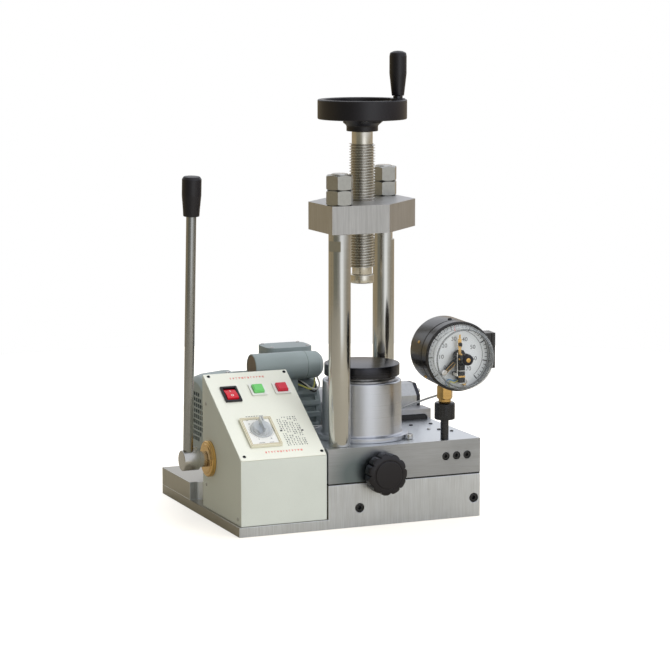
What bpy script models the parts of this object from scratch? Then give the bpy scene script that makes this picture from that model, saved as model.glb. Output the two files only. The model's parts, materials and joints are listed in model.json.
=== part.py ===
"""Tablet press: a bench hydraulic press with a hand pump, a motor pump, two columns and a screw handwheel.

Run with: blender --background --python part.py
Sizes are in millimetres and the objects in metres. +Z is up, -Y is the front, and the origin is on the
press axis at the underside of the base.
"""

import math

import bmesh
import bpy
from mathutils import Matrix, Vector

MM = 0.001
GAP = 0.3
WELD = 0.00002

# Base: a ledge that the control box stands on, a deck, and a riser under the hydraulic block.
BASE_LEFT, BASE_RIGHT, BASE_FRONT, BASE_BACK = -226, 153, -85, 249
LEDGE_TOP, DECK_TOP, RISER_TOP = 14.4, 41, 64
LEDGE_WIDTH, POCKET_BACK, POCKET_RADIUS = 20, 123, 18
BASE_SCREW_X, BASE_SCREW_Z, BASE_SCREW_HOLE = (-40, 143), 28, (7.2, 10)

# Hydraulic block.
BLOCK_LEFT, BLOCK_BACK, BLOCK_TOP = -89, 88, 117
PLUG_X, PLUG_Z, PLUG_HOLE = (97.3, 114.5, 131.6), 93.5, (6.2, 9)
VALVE_X, VALVE_Z, VALVE_DEPTH = -5.5, 78, 42

# Columns and crosshead.
COLUMN_OFFSET, COLUMN_RADIUS, STUD_RADIUS, STUD_DEPTH = 62, 16, 12, 31
CROSSHEAD_HALF, CROSSHEAD_CORNER = 81.7, 7.4
CROSSHEAD_BOTTOM, CROSSHEAD_TOP = 425.3, 465.6
NUT_FLATS, NUT_HEIGHT, STUD_TOP = 36, 21.3, 511

# Cylinder, piston and platen.
FLANGE_RADIUS, FLANGE_TOP, CYLINDER_TOP = 69, 124, 202
CYLINDER_FOOT_RADIUS, CYLINDER_LIP_RADIUS = 59, 58
PISTON_RADIUS, PISTON_BOTTOM, PISTON_TOP = 40, 136, 208.7
PLATEN_RADIUS, PLATEN_BOTTOM, PLATEN_TOP = 55.5, 209, 226

# Screw, handwheel and pressure pad.
SCREW_RADIUS, THREAD_BOTTOM, THREAD_TOP = 19, 368, 548
UPPER_NECK, LOWER_NECK, SCREW_STUB = 15.3, 14.5, 10
PAD_RADIUS, PAD_BOTTOM, PAD_TOP = 17.5, 344.4, 357
HUB_BOTTOM, HUB_TOP, HUB_RADIUS = 566, 596, 23
RIM_RADIUS, RIM_BOTTOM, RIM_TOP = 65, 583.5, 612
WHEEL_SPOKES = 3
CRANK_X, CRANK_Y, CRANK_TOP = 47.5, -20.1, 682

# Control box: a sheet cover, open underneath, with a sloped panel.
BOX_LEFT, BOX_RIGHT, BOX_FRONT, BOX_BACK = -222.4, -90.5, -83, 75
BOX_BOTTOM, BOX_LIP, BOX_CREST, SHEET = 14.7, 108.5, 209.5, 1.5
PANEL_SHEET = 1.2
MAINS_X, MAINS_Z, MAINS_HOLE = -180, 62, 8
LEAD_Y, LEAD_Z, LEAD_HOLE = 63, 135, 2.2
ROCKER_X, ROCKER_T, ROCKER_SIZE, ROCKER_LEAN = -193, 140, (26, 33), math.radians(-9)
START_X, STOP_X, BUTTON_T = -149.5, -112.2, 145.8
TIMER_X, TIMER_T, TIMER_SIZE = -175, 55, (49, 60)
DIAL_X, DIAL_T = -173, 58.5

# Hand lever, on a cross shaft along X.
LEVER_Y, LEVER_Z, LEVER_LEAN = 43, 91.5, math.radians(3.7)
LEVER_X, ROD_RADIUS, ROD_LENGTH, ARM_LENGTH = -257, 7.25, 403, 23.5
LEVER_HUB_RADIUS, SHAFT_RADIUS, SHAFT_RIGHT, BEARING_RADIUS, BEARING_FLANGE = 15, 8, -96, 26.5, 7.4
GRIP_BOTTOM, GRIP_TOP = 359, 416.5
PUMP_X, PUMP_Z, ROLLER_RADIUS, ARM_RIGHT, ARM_LEFT = -110, LEVER_Z - ARM_LENGTH, 4, -103, -117
PLUNGER_RADIUS, PLUNGER_FRONT, PLUNGER_BACK = 7, -30, 37

# Motor and motor pump, on one axis along X.
MOTOR_Y, MOTOR_Z, FIN_RADIUS, FRAME_RADIUS = 149, 137, 62, 55
MOTOR_LEFT, FRAME_LEFT, FRAME_RIGHT, MOTOR_RIGHT, MOTOR_BORE = -208, -152, -31, -20, 36
COVER_RADIUS, COVER_SKIN, FINS, FAN_BLADES = 65, 2, 22, 6
FOOT_LEFT, FOOT_RIGHT, FOOT_HALF, FOOT_TOP = -140, -60, 45, 90
TERMINAL_LEFT, TERMINAL_RIGHT, TERMINAL_FRONT, TERMINAL_BACK, TERMINAL_TOP = -95.5, -22, 130, 185, 233.7
PUMP_RIGHT, PUMP_HALF, PUMP_COVER = 145, 28, 6
GEAR_LEFT, GEAR_RIGHT, GEAR_TEETH, GEAR_CENTRES = 118.5, 141, 10, 15.2
GEAR_CHAMBER, DRIVE_RADIUS, IDLER_RADIUS = 9.5, 5, 3.5
CAPACITOR_Y, CAPACITOR_Z, CAPACITOR_RADIUS = 104, 210.5, 21
CAPACITOR_LEFT, CAPACITOR_RIGHT = -134, -23

# Contact gauge, turned a little towards the left.
GAUGE_X, GAUGE_Y, GAUGE_Z, GAUGE_TURN = 100, -74, 248.5, math.radians(-6)
CASE_RADIUS, CASE_BACK, CASE_FRONT, WINDOW_FRONT = 50, -17, 59, 87
DIAL_LOW, DIAL_HIGH, POINTER_LENGTH, SETTING_LENGTH = 54, 55, 38, 32

STEM_RADIUS = 6
LEAD_RADIUS = 1.6
LEAD_ROUTE = (
    (161, -68.3, 238),
    (160, -57, 236),
    (153, -48, 224),
    (142, -45, 207),
    (131, -44, 192),
    (119, -40, 181),
    (109, -28, 174),
    (104.4, 0, 164.5),
    (99.5, 38, 151),
    (96.5, 63, 142.5),
    (91, 76, 136),
    (80, 83, 128),
    (58, 83.6, 121),
    (20, 82.8, 119.2),
    (-25, 82, 119.2),
    (-58, 79, 121),
    (-76, 71, 128),
    (-85, 65, 134),
    (-90.2, 63, 135),
)

# name: (colour, roughness, metallic)
FINISHES = {
    "machined_steel": ((0.46, 0.46, 0.48), 0.42, 1.0),
    "ground_aluminium": ((0.62, 0.62, 0.62), 0.35, 1.0),
    "chrome": ((0.72, 0.71, 0.69), 0.12, 1.0),
    "thread_steel": ((0.5, 0.48, 0.44), 0.3, 1.0),
    "black_plastic": ((0.02, 0.018, 0.022), 0.35, 0.0),
    "black_steel": ((0.03, 0.03, 0.032), 0.3, 0.6),
    "brass": ((0.6, 0.34, 0.09), 0.32, 1.0),
    "cream_paint": ((0.8, 0.8, 0.7), 0.5, 0.0),
    "grey_paint": ((0.28, 0.33, 0.35), 0.5, 0.0),
    "dial_white": ((0.75, 0.77, 0.78), 0.4, 0.0),
    "clear_plastic": ((0.9, 0.92, 0.93), 0.1, 0.0),
    "red_plastic": ((0.6, 0.01, 0.02), 0.3, 0.0),
    "green_plastic": ((0.2, 0.6, 0.2), 0.3, 0.0),
    "white_plastic": ((0.8, 0.8, 0.78), 0.4, 0.0),
    "grey_cable": ((0.4, 0.41, 0.42), 0.5, 0.0),
    "seal_rubber": ((0.03, 0.03, 0.03), 0.7, 0.0),
}

# Frames: local z is the direction in which a turned profile's heights run.
UPRIGHT = Matrix.Identity(4)
FRONT = Matrix.Rotation(math.pi / 2, 4, "X")
SIDE = Matrix(((0, 0, 1), (1, 0, 0), (0, 1, 0))).to_4x4()


def at(x, y, z, frame=UPRIGHT):
    return Matrix.Translation(Vector((x, y, z)) * MM) @ frame


PANEL_SLOPE = math.atan2(BOX_CREST - BOX_LIP, BOX_BACK - BOX_FRONT)
PANEL_LENGTH = math.hypot(BOX_CREST - BOX_LIP, BOX_BACK - BOX_FRONT)
PANEL = at(0, BOX_FRONT, BOX_LIP, Matrix.Rotation(PANEL_SLOPE, 4, "X"))
LEVER_AXIS = at(0, LEVER_Y, LEVER_Z, SIDE)
MOTOR_AXIS = at(0, MOTOR_Y, MOTOR_Z, SIDE)
GAUGE = at(GAUGE_X, GAUGE_Y, GAUGE_Z, Matrix.Rotation(GAUGE_TURN, 4, "Z") @ FRONT)


def new_collection(name):
    collection = bpy.data.collections.new(name)
    bpy.context.scene.collection.children.link(collection)
    return collection


def clear_scene():
    for obj in list(bpy.data.objects):
        bpy.data.objects.remove(obj, do_unlink=True)


def paint(obj, finish):
    colour, roughness, metallic = FINISHES[finish]
    material = bpy.data.materials.new(f"{obj.name}_{finish}")
    material.use_nodes = True
    shader = material.node_tree.nodes["Principled BSDF"]
    shader.inputs["Base Color"].default_value = (*colour, 1)
    shader.inputs["Roughness"].default_value = roughness
    shader.inputs["Metallic"].default_value = metallic
    obj.data.materials.clear()
    obj.data.materials.append(material)


def place_object(name, mesh, place, finish):
    """Links the mesh as a part, or as a hidden cutter where it has no finish."""
    obj = bpy.data.objects.new(name, mesh)
    obj.matrix_world = place
    if finish is None:
        CUTTERS.objects.link(obj)
        obj.hide_render = True
        obj.display_type = "WIRE"
        return obj
    PARTS.objects.link(obj)
    paint(obj, finish)
    return obj


def box(name, low, high, finish=None, place=UPRIGHT):
    """A box between two corners."""
    low, high = Vector(low) * MM, Vector(high) * MM
    shape = Matrix.Translation((low + high) / 2) @ Matrix.Diagonal((*(high - low), 1))
    work = bmesh.new()
    bmesh.ops.create_cube(work, size=1, matrix=shape)
    mesh = bpy.data.meshes.new(name)
    work.to_mesh(mesh)
    work.free()
    return place_object(name, mesh, place, finish)


def turned(name, profile, finish=None, place=UPRIGHT, sides=24):
    """A turned shape, whose (radius, height) profile runs down its outer side. A ring's profile closes."""
    mesh = bpy.data.meshes.new(name)
    edges = [(i, i + 1) for i in range(len(profile) - 1)]
    if profile[0][0] > 0:
        edges.append((len(profile) - 1, 0))
    mesh.from_pydata([(r * MM, 0, h * MM) for r, h in profile], edges, [])
    obj = place_object(name, mesh, place, finish)
    screw = obj.modifiers.new("Turn", "SCREW")
    screw.steps = screw.render_steps = sides
    screw.use_merge_vertices = True
    screw.merge_threshold = WELD
    return obj


def rod(name, radius, bottom, top, finish=None, place=UPRIGHT, sides=16, chamfer=0):
    """A solid bar with chamfered ends."""
    profile = [(0, top), (radius - chamfer, top), (radius, top - chamfer)]
    profile += [(radius, bottom + chamfer), (radius - chamfer, bottom), (0, bottom)]
    if not chamfer:
        profile = [(0, top), (radius, top), (radius, bottom), (0, bottom)]
    return turned(name, profile, finish, place, sides)


def plate(name, outlines, bottom, top, finish=None, place=UPRIGHT):
    """A flat outline with its holes, as a solid mesh between two heights."""
    curve = bpy.data.curves.new(name, "CURVE")
    curve.dimensions = "2D"
    curve.fill_mode = "BOTH"
    curve.extrude = (top - bottom) / 2 * MM
    for outline in outlines:
        spline = curve.splines.new("POLY")
        spline.points.add(len(outline) - 1)
        for point, (x, y) in zip(spline.points, outline):
            point.co = (x * MM, y * MM, 0, 1)
        spline.use_cyclic_u = True
    guide = bpy.data.objects.new(name + "_outline", curve)
    CUTTERS.objects.link(guide)
    graph = bpy.context.evaluated_depsgraph_get()
    mesh = bpy.data.meshes.new_from_object(guide.evaluated_get(graph))
    bpy.data.objects.remove(guide, do_unlink=True)
    mesh.name = name
    work = bmesh.new()
    work.from_mesh(mesh)
    bmesh.ops.remove_doubles(work, verts=work.verts, dist=WELD)
    bmesh.ops.recalc_face_normals(work, faces=work.faces)
    work.to_mesh(mesh)
    work.free()
    mesh.shade_smooth()
    mesh.set_sharp_from_angle(angle=math.radians(35))
    return place_object(name, mesh, place @ at(0, 0, (bottom + top) / 2), finish)


def cut(obj, cutter, operation="DIFFERENCE"):
    boolean = obj.modifiers.new(cutter.name, "BOOLEAN")
    boolean.operation = operation
    boolean.object = cutter
    return obj


def join(obj, other):
    return cut(obj, other, "UNION")


def circle(radius, sides, x=0, y=0, start=0):
    turns = [start + 2 * math.pi * i / sides for i in range(sides)]
    return [(x + radius * math.cos(a), y + radius * math.sin(a)) for a in turns]


def rectangle(left, low, right, high):
    return [(left, low), (right, low), (right, high), (left, high)]


def arc(x, y, radius, start, end, steps):
    turns = [math.radians(start + (end - start) * i / steps) for i in range(steps + 1)]
    return [(x + radius * math.cos(a), y + radius * math.sin(a)) for a in turns]


def make_base():
    slab = (BASE_LEFT, BASE_FRONT, 0), (BASE_RIGHT, BASE_BACK, LEDGE_TOP)
    base = box("base_plate", *slab, "machined_steel")
    corner_x = BASE_LEFT + LEDGE_WIDTH - POCKET_RADIUS
    corner_y = POCKET_BACK - POCKET_RADIUS
    outline = [(BASE_RIGHT, BASE_BACK), (BASE_LEFT, BASE_BACK), (BASE_LEFT, POCKET_BACK)]
    outline += arc(corner_x, corner_y, POCKET_RADIUS, 90, 0, 6)
    outline += [(BASE_LEFT + LEDGE_WIDTH, BASE_FRONT + LEDGE_WIDTH), (BLOCK_LEFT, BASE_FRONT + LEDGE_WIDTH)]
    outline += [(BLOCK_LEFT, BASE_FRONT), (BASE_RIGHT, BASE_FRONT)]
    join(base, plate("deck_shape", [outline], LEDGE_TOP / 2, DECK_TOP))
    riser = (BLOCK_LEFT, BASE_FRONT, LEDGE_TOP), (BASE_RIGHT, BLOCK_BACK, RISER_TOP)
    join(base, box("riser_shape", *riser))
    radius, depth = BASE_SCREW_HOLE
    for number, x in enumerate(BASE_SCREW_X):
        place = at(x, BASE_FRONT, BASE_SCREW_Z, FRONT)
        cut(base, rod(f"base_screw_hole_{number}", radius, -depth, 1, None, place, 14))


def make_hydraulic_block():
    low = (BLOCK_LEFT, BASE_FRONT, RISER_TOP + GAP)
    block = box("hydraulic_block", low, (BASE_RIGHT, BLOCK_BACK, BLOCK_TOP), "ground_aluminium")
    for side, name in ((-1, "front"), (1, "rear")):
        place = at(side * COLUMN_OFFSET, side * COLUMN_OFFSET, BLOCK_TOP)
        cut(block, rod(f"stud_hole_{name}", STUD_RADIUS + GAP, -STUD_DEPTH - 1, 1, None, place, 16))
    for number, x in enumerate(PLUG_X):
        place = at(x, BASE_FRONT, PLUG_Z, FRONT)
        cut(block, rod(f"plug_hole_{number}", PLUG_HOLE[0], -PLUG_HOLE[1], 1, None, place, 14))
    place = at(VALVE_X, BASE_FRONT, VALVE_Z, FRONT)
    cut(block, rod("valve_hole", 6 + GAP, -VALVE_DEPTH, 1, None, place, 14))
    place = at(GAUGE_X, GAUGE_Y, BLOCK_TOP)
    cut(block, rod("gauge_port", STEM_RADIUS + GAP, -13, 1, None, place, 14))


def make_columns():
    for side, name in ((-1, "front"), (1, "rear")):
        x = y = side * COLUMN_OFFSET
        shoulder = CROSSHEAD_BOTTOM - GAP
        foot = BLOCK_TOP + GAP
        profile = [(0, STUD_TOP), (STUD_RADIUS - 1.5, STUD_TOP), (STUD_RADIUS, STUD_TOP - 1.5)]
        profile += [(STUD_RADIUS, shoulder), (COLUMN_RADIUS - 1, shoulder), (COLUMN_RADIUS, shoulder - 1)]
        profile += [(COLUMN_RADIUS, foot), (STUD_RADIUS, foot)]
        profile += [(STUD_RADIUS, BLOCK_TOP - STUD_DEPTH), (0, BLOCK_TOP - STUD_DEPTH)]
        turned(f"column_{name}", profile, "chrome", at(x, y, 0), 24)
        make_nuts(name, x, y)


def make_nuts(name, x, y):
    """The nut and the locknut on one stud, as one solid with a groove between them."""
    across_corners = NUT_FLATS / 2 / math.cos(math.pi / 6)
    hole = circle(STUD_RADIUS + GAP, 20)
    low = CROSSHEAD_TOP + GAP
    seam = low + NUT_HEIGHT
    first = [circle(across_corners, 6), hole]
    nuts = plate(f"column_nuts_{name}", first, low, seam, "machined_steel", at(x, y, 0))
    sleeve = [circle(STUD_RADIUS + 4, 16), hole]
    join(nuts, plate(f"nut_sleeve_{name}", sleeve, seam - 3, seam + 4, None, at(x, y, 0)))
    second = [circle(across_corners, 6), hole]
    join(nuts, plate(f"locknut_{name}", second, seam + 0.5, seam + 0.5 + NUT_HEIGHT, None, at(x, y, 0)))


def make_crosshead():
    half, corner = CROSSHEAD_HALF, CROSSHEAD_CORNER
    outline = [(-half, -half), (corner, -half), (half, -corner)]
    outline += [(half, half), (-corner, half), (-half, corner)]
    holes = [circle(SCREW_RADIUS + 0.45, 32)]
    for side in (-1, 1):
        holes.append(circle(STUD_RADIUS + GAP, 20, side * COLUMN_OFFSET, side * COLUMN_OFFSET))
    plate("crosshead", [outline, *holes], CROSSHEAD_BOTTOM, CROSSHEAD_TOP, "ground_aluminium")


def make_ram():
    bottom = BLOCK_TOP + GAP
    bore = PISTON_RADIUS + 0.6
    profile = [(0, PISTON_BOTTOM - 1), (bore, PISTON_BOTTOM - 1), (bore, CYLINDER_TOP)]
    profile += [(CYLINDER_LIP_RADIUS - 1.5, CYLINDER_TOP), (CYLINDER_LIP_RADIUS, CYLINDER_TOP - 1.5)]
    profile += [(CYLINDER_FOOT_RADIUS, FLANGE_TOP + 3), (CYLINDER_FOOT_RADIUS + 3, FLANGE_TOP)]
    profile += [(FLANGE_RADIUS - 1, FLANGE_TOP), (FLANGE_RADIUS, FLANGE_TOP - 1), (FLANGE_RADIUS, bottom)]
    profile += [(0, bottom)]
    turned("cylinder", profile, "ground_aluminium", sides=32)

    groove_top, groove_bottom, groove_radius = PISTON_BOTTOM + 11, PISTON_BOTTOM + 6, PISTON_RADIUS - 4
    profile = [(0, PISTON_TOP + 5), (12, PISTON_TOP + 5), (12, PISTON_TOP), (PISTON_RADIUS, PISTON_TOP)]
    profile += [(PISTON_RADIUS, groove_top), (groove_radius, groove_top), (groove_radius, groove_bottom)]
    profile += [(PISTON_RADIUS, groove_bottom), (PISTON_RADIUS, PISTON_BOTTOM), (0, PISTON_BOTTOM)]
    turned("piston", profile, "chrome", sides=28)

    inner, outer = groove_radius + GAP, PISTON_RADIUS + 0.1
    ring = [(outer, groove_top - GAP), (outer, groove_bottom + GAP)]
    ring += [(inner, groove_bottom + GAP), (inner, groove_top - GAP)]
    turned("piston_seal", ring, "seal_rubber", sides=28)

    profile = [(0, PLATEN_TOP), (PLATEN_RADIUS - 1.5, PLATEN_TOP), (PLATEN_RADIUS, PLATEN_TOP - 1.5)]
    profile += [(PLATEN_RADIUS, PLATEN_BOTTOM + 1), (PLATEN_RADIUS - 1, PLATEN_BOTTOM)]
    profile += [(12 + GAP, PLATEN_BOTTOM), (12 + GAP, PISTON_TOP + 5 + GAP), (0, PISTON_TOP + 5 + GAP)]
    turned("platen", profile, "black_steel", sides=36)


def make_screw():
    profile = [(6 + GAP, PAD_TOP), (PAD_RADIUS - 1, PAD_TOP), (PAD_RADIUS, PAD_TOP - 1)]
    profile += [(PAD_RADIUS, PAD_BOTTOM + 1), (PAD_RADIUS - 1, PAD_BOTTOM), (0, PAD_BOTTOM)]
    profile = [(0, PAD_BOTTOM + 5), (6 + GAP, PAD_BOTTOM + 5)] + profile
    turned("pressure_pad", profile, "thread_steel", sides=20)

    tip = PAD_BOTTOM + 5 + GAP
    profile = [(0, HUB_TOP - 2), (SCREW_STUB, HUB_TOP - 2), (SCREW_STUB, HUB_BOTTOM - GAP)]
    profile += [(UPPER_NECK, HUB_BOTTOM - GAP), (UPPER_NECK, THREAD_TOP), (SCREW_RADIUS - 2, THREAD_TOP)]
    profile += [(SCREW_RADIUS, THREAD_TOP - 2), (SCREW_RADIUS, THREAD_BOTTOM + 2)]
    profile += [(SCREW_RADIUS - 2, THREAD_BOTTOM), (LOWER_NECK, THREAD_BOTTOM)]
    profile += [(LOWER_NECK, PAD_TOP + GAP), (6, PAD_TOP + GAP), (6, tip), (0, tip)]
    turned("lead_screw", profile, "thread_steel", sides=28)


def make_handwheel():
    bore = SCREW_STUB + GAP
    profile = [(RIM_RADIUS - 2.5, RIM_TOP), (RIM_RADIUS, RIM_TOP - 3), (RIM_RADIUS, RIM_BOTTOM + 4)]
    profile += [(RIM_RADIUS - 4, RIM_BOTTOM), (RIM_RADIUS - 28, RIM_BOTTOM), (HUB_RADIUS, HUB_BOTTOM + 9)]
    profile += [(HUB_RADIUS, HUB_BOTTOM), (bore, HUB_BOTTOM), (bore, HUB_TOP)]
    profile += [(HUB_RADIUS - 3, HUB_TOP), (HUB_RADIUS, HUB_TOP - 4), (RIM_RADIUS - 26, RIM_BOTTOM + 7)]
    profile += [(RIM_RADIUS - 10, RIM_BOTTOM + 7), (RIM_RADIUS - 9, RIM_TOP)]
    wheel = turned("handwheel", profile, "black_plastic", sides=36)
    crank_angle = math.degrees(math.atan2(CRANK_Y, CRANK_X))
    for number in range(WHEEL_SPOKES):
        middle = crank_angle + (number + 0.5) * 360 / WHEEL_SPOKES
        outline = arc(0, 0, RIM_RADIUS - 13, middle - 38, middle + 38, 8)
        outline += arc(0, 0, HUB_RADIUS + 5, middle + 34, middle - 34, 6)
        cut(wheel, plate(f"wheel_opening_{number}", [outline], HUB_BOTTOM, RIM_TOP + 1))
    place = at(CRANK_X, CRANK_Y, 0)
    join(wheel, rod("crank_boss", 11, RIM_BOTTOM + 3, RIM_TOP + 1, None, place, 16, 1))
    cut(wheel, rod("crank_hole", 4 + GAP, RIM_BOTTOM + 8, RIM_TOP + 5, None, place, 12))

    profile = [(0, CRANK_TOP - 15), (4, CRANK_TOP - 15), (4, RIM_TOP + 4.5), (7, RIM_TOP + 4.5)]
    profile += [(7, RIM_TOP + 1.5), (4, RIM_TOP + 1.5), (4, RIM_BOTTOM + 9), (0, RIM_BOTTOM + 9)]
    turned("crank_pin", profile, "machined_steel", place, 12)

    low = RIM_TOP + 5
    profile = [(0, CRANK_TOP), (6, CRANK_TOP - 1), (10.5, CRANK_TOP - 3), (12.5, CRANK_TOP - 6)]
    profile += [(12.5, CRANK_TOP - 34), (9.8, low + 2), (9, low), (4 + GAP, low)]
    profile += [(4 + GAP, CRANK_TOP - 14), (0, CRANK_TOP - 14)]
    turned("crank_grip", profile, "black_plastic", place, 20)


def make_rear_block():
    front, back, top = BLOCK_BACK + GAP, 119.5, 133
    block = box("rear_block", (-15, front, DECK_TOP + GAP), (BASE_RIGHT + 1, back, top), "machined_steel")
    slot = arc(141.5, 118.5, 6.5, -90, 90, 8) + arc(40, 118.5, 6.5, 90, 270, 8)
    cut(block, plate("slot_shape", [slot], -12, 1, None, at(0, front, 0, FRONT)))


def box_profile(inset, floor):
    """The control box's section as (y, z), moved in by the inset on every side but the open bottom."""
    rise = inset / math.cos(PANEL_SLOPE)
    slope = math.tan(PANEL_SLOPE)
    low, high = BOX_FRONT + inset, BOX_BACK - inset
    front_top = BOX_LIP + slope * inset - rise
    back_top = BOX_LIP + slope * (high - BOX_FRONT) - rise
    return [(low, floor), (high, floor), (high, back_top), (low, front_top)]


def panel_openings():
    """(name, x, t, half width, half height) of each opening in the panel."""
    return (
        ("rocker", ROCKER_X, ROCKER_T, 10.8, 14),
        ("start", START_X, BUTTON_T, 9.8, 9.8),
        ("stop", STOP_X, BUTTON_T, 9.8, 9.8),
        ("timer", TIMER_X, TIMER_T, 21.8, 21.8),
    )


def make_control_box():
    across = at(0, 0, 0, SIDE)
    shell = plate("control_box", [box_profile(0, BOX_BOTTOM)], BOX_LEFT, BOX_RIGHT, "cream_paint", across)
    hollow = [box_profile(SHEET, BOX_BOTTOM - 5)]
    cut(shell, plate("box_hollow", hollow, BOX_LEFT + SHEET, BOX_RIGHT - SHEET, None, across))
    notch_low = (BASE_LEFT + LEDGE_WIDTH - GAP, BASE_FRONT + LEDGE_WIDTH - GAP, 0)
    cut(shell, box("deck_notch", notch_low, (BOX_RIGHT + 5, BOX_BACK + 5, DECK_TOP + GAP)))
    outline = rectangle(BOX_LEFT + 0.5, 0.5, BOX_RIGHT - 0.5, PANEL_LENGTH - 0.5)
    openings = []
    for name, x, t, half_x, half_t in panel_openings():
        low, high = (x - half_x, t - half_t), (x + half_x, t + half_t)
        openings.append(rectangle(*low, *high))
        cut(shell, box(f"{name}_opening", (*low, -4), (*high, 4), None, PANEL))
    plate("control_panel", [outline, *openings], GAP, GAP + PANEL_SHEET, "cream_paint", PANEL)
    cut(shell, rod("bearing_hole", 12 + GAP, BOX_LEFT - 3, BOX_LEFT + 5, None, LEVER_AXIS, 16))
    lead_place = at(0, LEAD_Y, LEAD_Z, SIDE)
    cut(shell, rod("lead_hole", LEAD_HOLE, BOX_RIGHT - 4, BOX_RIGHT + 3, None, lead_place, 16))
    mains_place, back = at(MAINS_X, 0, MAINS_Z, FRONT), -BOX_BACK
    cut(shell, rod("mains_hole", MAINS_HOLE + GAP, back - 3, back + 5, None, mains_place, 20))
    gland = [(5.2, back + 12), (MAINS_HOLE, back + 12), (MAINS_HOLE, back - GAP), (11, back - GAP)]
    gland += [(11, back - 8), (7, back - 14), (5.2, back - 14)]
    turned("mains_gland", gland, "black_plastic", mains_place, 14)


def make_switches():
    skin = GAP + PANEL_SHEET + GAP
    width, height = ROCKER_SIZE
    place = PANEL @ at(ROCKER_X, ROCKER_T, 0)
    body = box("power_switch_body", (-10.4, -13.6, -24), (10.4, 13.6, skin + 1), "black_plastic", place)
    bezel = (-width / 2, -height / 2, skin), (width / 2, height / 2, skin + 2.2)
    join(body, box("rocker_bezel", *bezel, None, place))
    cut(body, box("rocker_pit", (-9.5, -12.7, -9), (9.5, 12.7, skin + 5), None, place))
    rocker = [(-12, -4.5), (-10.5, 2.6), (0, 4.4), (10.5, 2.6), (12, -4.5), (3, -5.5), (-3, -5.5)]
    turn = Matrix.Rotation(ROCKER_LEAN, 4, "X")
    lift = at(0, 0, skin - 0.6)
    outline = [[(y, z) for y, z in rocker]]
    plate("power_rocker", outline, -8.8, 8.8, "red_plastic", place @ lift @ turn @ SIDE)

    for name, x, finish in (("start", START_X, "green_plastic"), ("stop", STOP_X, "red_plastic")):
        place = PANEL @ at(x, BUTTON_T, 0)
        body = (-9.4, -9.4, -20), (9.4, 9.4, skin + 1)
        frame = box(f"{name}_button_housing", *body, "white_plastic", place)
        join(frame, box(f"{name}_bezel", (-12, -12, skin), (12, 12, skin + 2), None, place))
        cut(frame, box(f"{name}_pit", (-8.3, -8.3, -8), (8.3, 8.3, skin + 5), None, place))
        box(f"{name}_button", (-8, -8, -4), (8, 8, skin + 6), finish, place)


def make_timer():
    skin = GAP + PANEL_SHEET + GAP
    width, height = TIMER_SIZE
    place = PANEL @ at(TIMER_X, TIMER_T, 0)
    body = box("timer_body", (-21.4, -21.4, -50), (21.4, 21.4, skin + 1), "cream_paint", place)
    frame = (-width / 2, -height / 2, skin), (width / 2, height / 2, skin + 4)
    join(body, box("timer_frame", *frame, None, place))
    face = (-width / 2 + 4, -height / 2 + 4, skin + 2.5)
    cut(body, box("timer_face", face, (width / 2 - 4, height / 2 - 4, skin + 9), None, place))
    cut(body, rod("timer_bore", 3 + GAP, -10, 12, None, PANEL @ at(DIAL_X, DIAL_T, 0), 16))
    base = skin + 2.5 + GAP
    profile = [(0, base + 9), (14, base + 8), (17, base + 1.5), (17, base), (3, base), (3, -8), (0, -8)]
    knob = turned("timer_knob", profile, "clear_plastic", PANEL @ at(DIAL_X, DIAL_T, 0), 20)
    wing = (-2.5, -14, base + 4), (2.5, 14, base + 16)
    join(knob, box("timer_wing", *wing, None, PANEL @ at(DIAL_X, DIAL_T, 0)))


def make_lever():
    collar = BOX_LEFT - GAP - BEARING_FLANGE - GAP
    hub = [(0, LEVER_X - 10), (14, LEVER_X - 10), (LEVER_HUB_RADIUS, LEVER_X - 9)]
    hub += [(LEVER_HUB_RADIUS, LEVER_X + 15), (11.5, LEVER_X + 15), (11.5, collar)]
    hub += [(SHAFT_RADIUS + GAP, collar), (SHAFT_RADIUS + GAP, LEVER_X - 5), (0, LEVER_X - 5)]
    piece = turned("lever_hub", hub[::-1], "machined_steel", LEVER_AXIS, 24)
    lean = at(LEVER_X, LEVER_Y, LEVER_Z, Matrix.Rotation(LEVER_LEAN, 4, "X"))
    cut(piece, rod("rod_socket", ROD_RADIUS + GAP, 4, 20, None, lean, 16))
    rod("lever_rod", ROD_RADIUS, 9, ROD_LENGTH, "chrome", lean, 16)
    low, high = GRIP_BOTTOM, GRIP_TOP
    profile = [(0, high), (11, high - 0.5), (14, high - 3), (14, high - 27), (11, low + 1), (10, low)]
    profile += [(ROD_RADIUS + GAP, low), (ROD_RADIUS + GAP, ROD_LENGTH + 1), (0, ROD_LENGTH + 1)]
    turned("lever_grip", profile, "black_plastic", lean, 20)

    shaft = rod("cross_shaft", SHAFT_RADIUS, LEVER_X - 4.5, SHAFT_RIGHT, "machined_steel", LEVER_AXIS, 24)
    arm = (ARM_LEFT, -3.5, -ARM_LENGTH), (ARM_RIGHT, 3.5, 0)
    join(shaft, box("pump_arm", *arm, None, at(0, LEVER_Y, LEVER_Z)))
    roller_place = at(0, LEVER_Y, PUMP_Z, SIDE)
    join(shaft, rod("arm_roller", ROLLER_RADIUS, ARM_LEFT, ARM_RIGHT, None, roller_place, 16))

    seat = BOX_LEFT - GAP
    face = seat - BEARING_FLANGE
    profile = [(SHAFT_RADIUS + GAP, seat + 18), (SHAFT_RADIUS + GAP, face), (BEARING_RADIUS - 1, face)]
    profile += [(BEARING_RADIUS, face + 1), (BEARING_RADIUS, seat), (12, seat), (12, seat + 18)]
    turned("lever_bearing", profile[::-1], "brass", LEVER_AXIS, 24)


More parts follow.
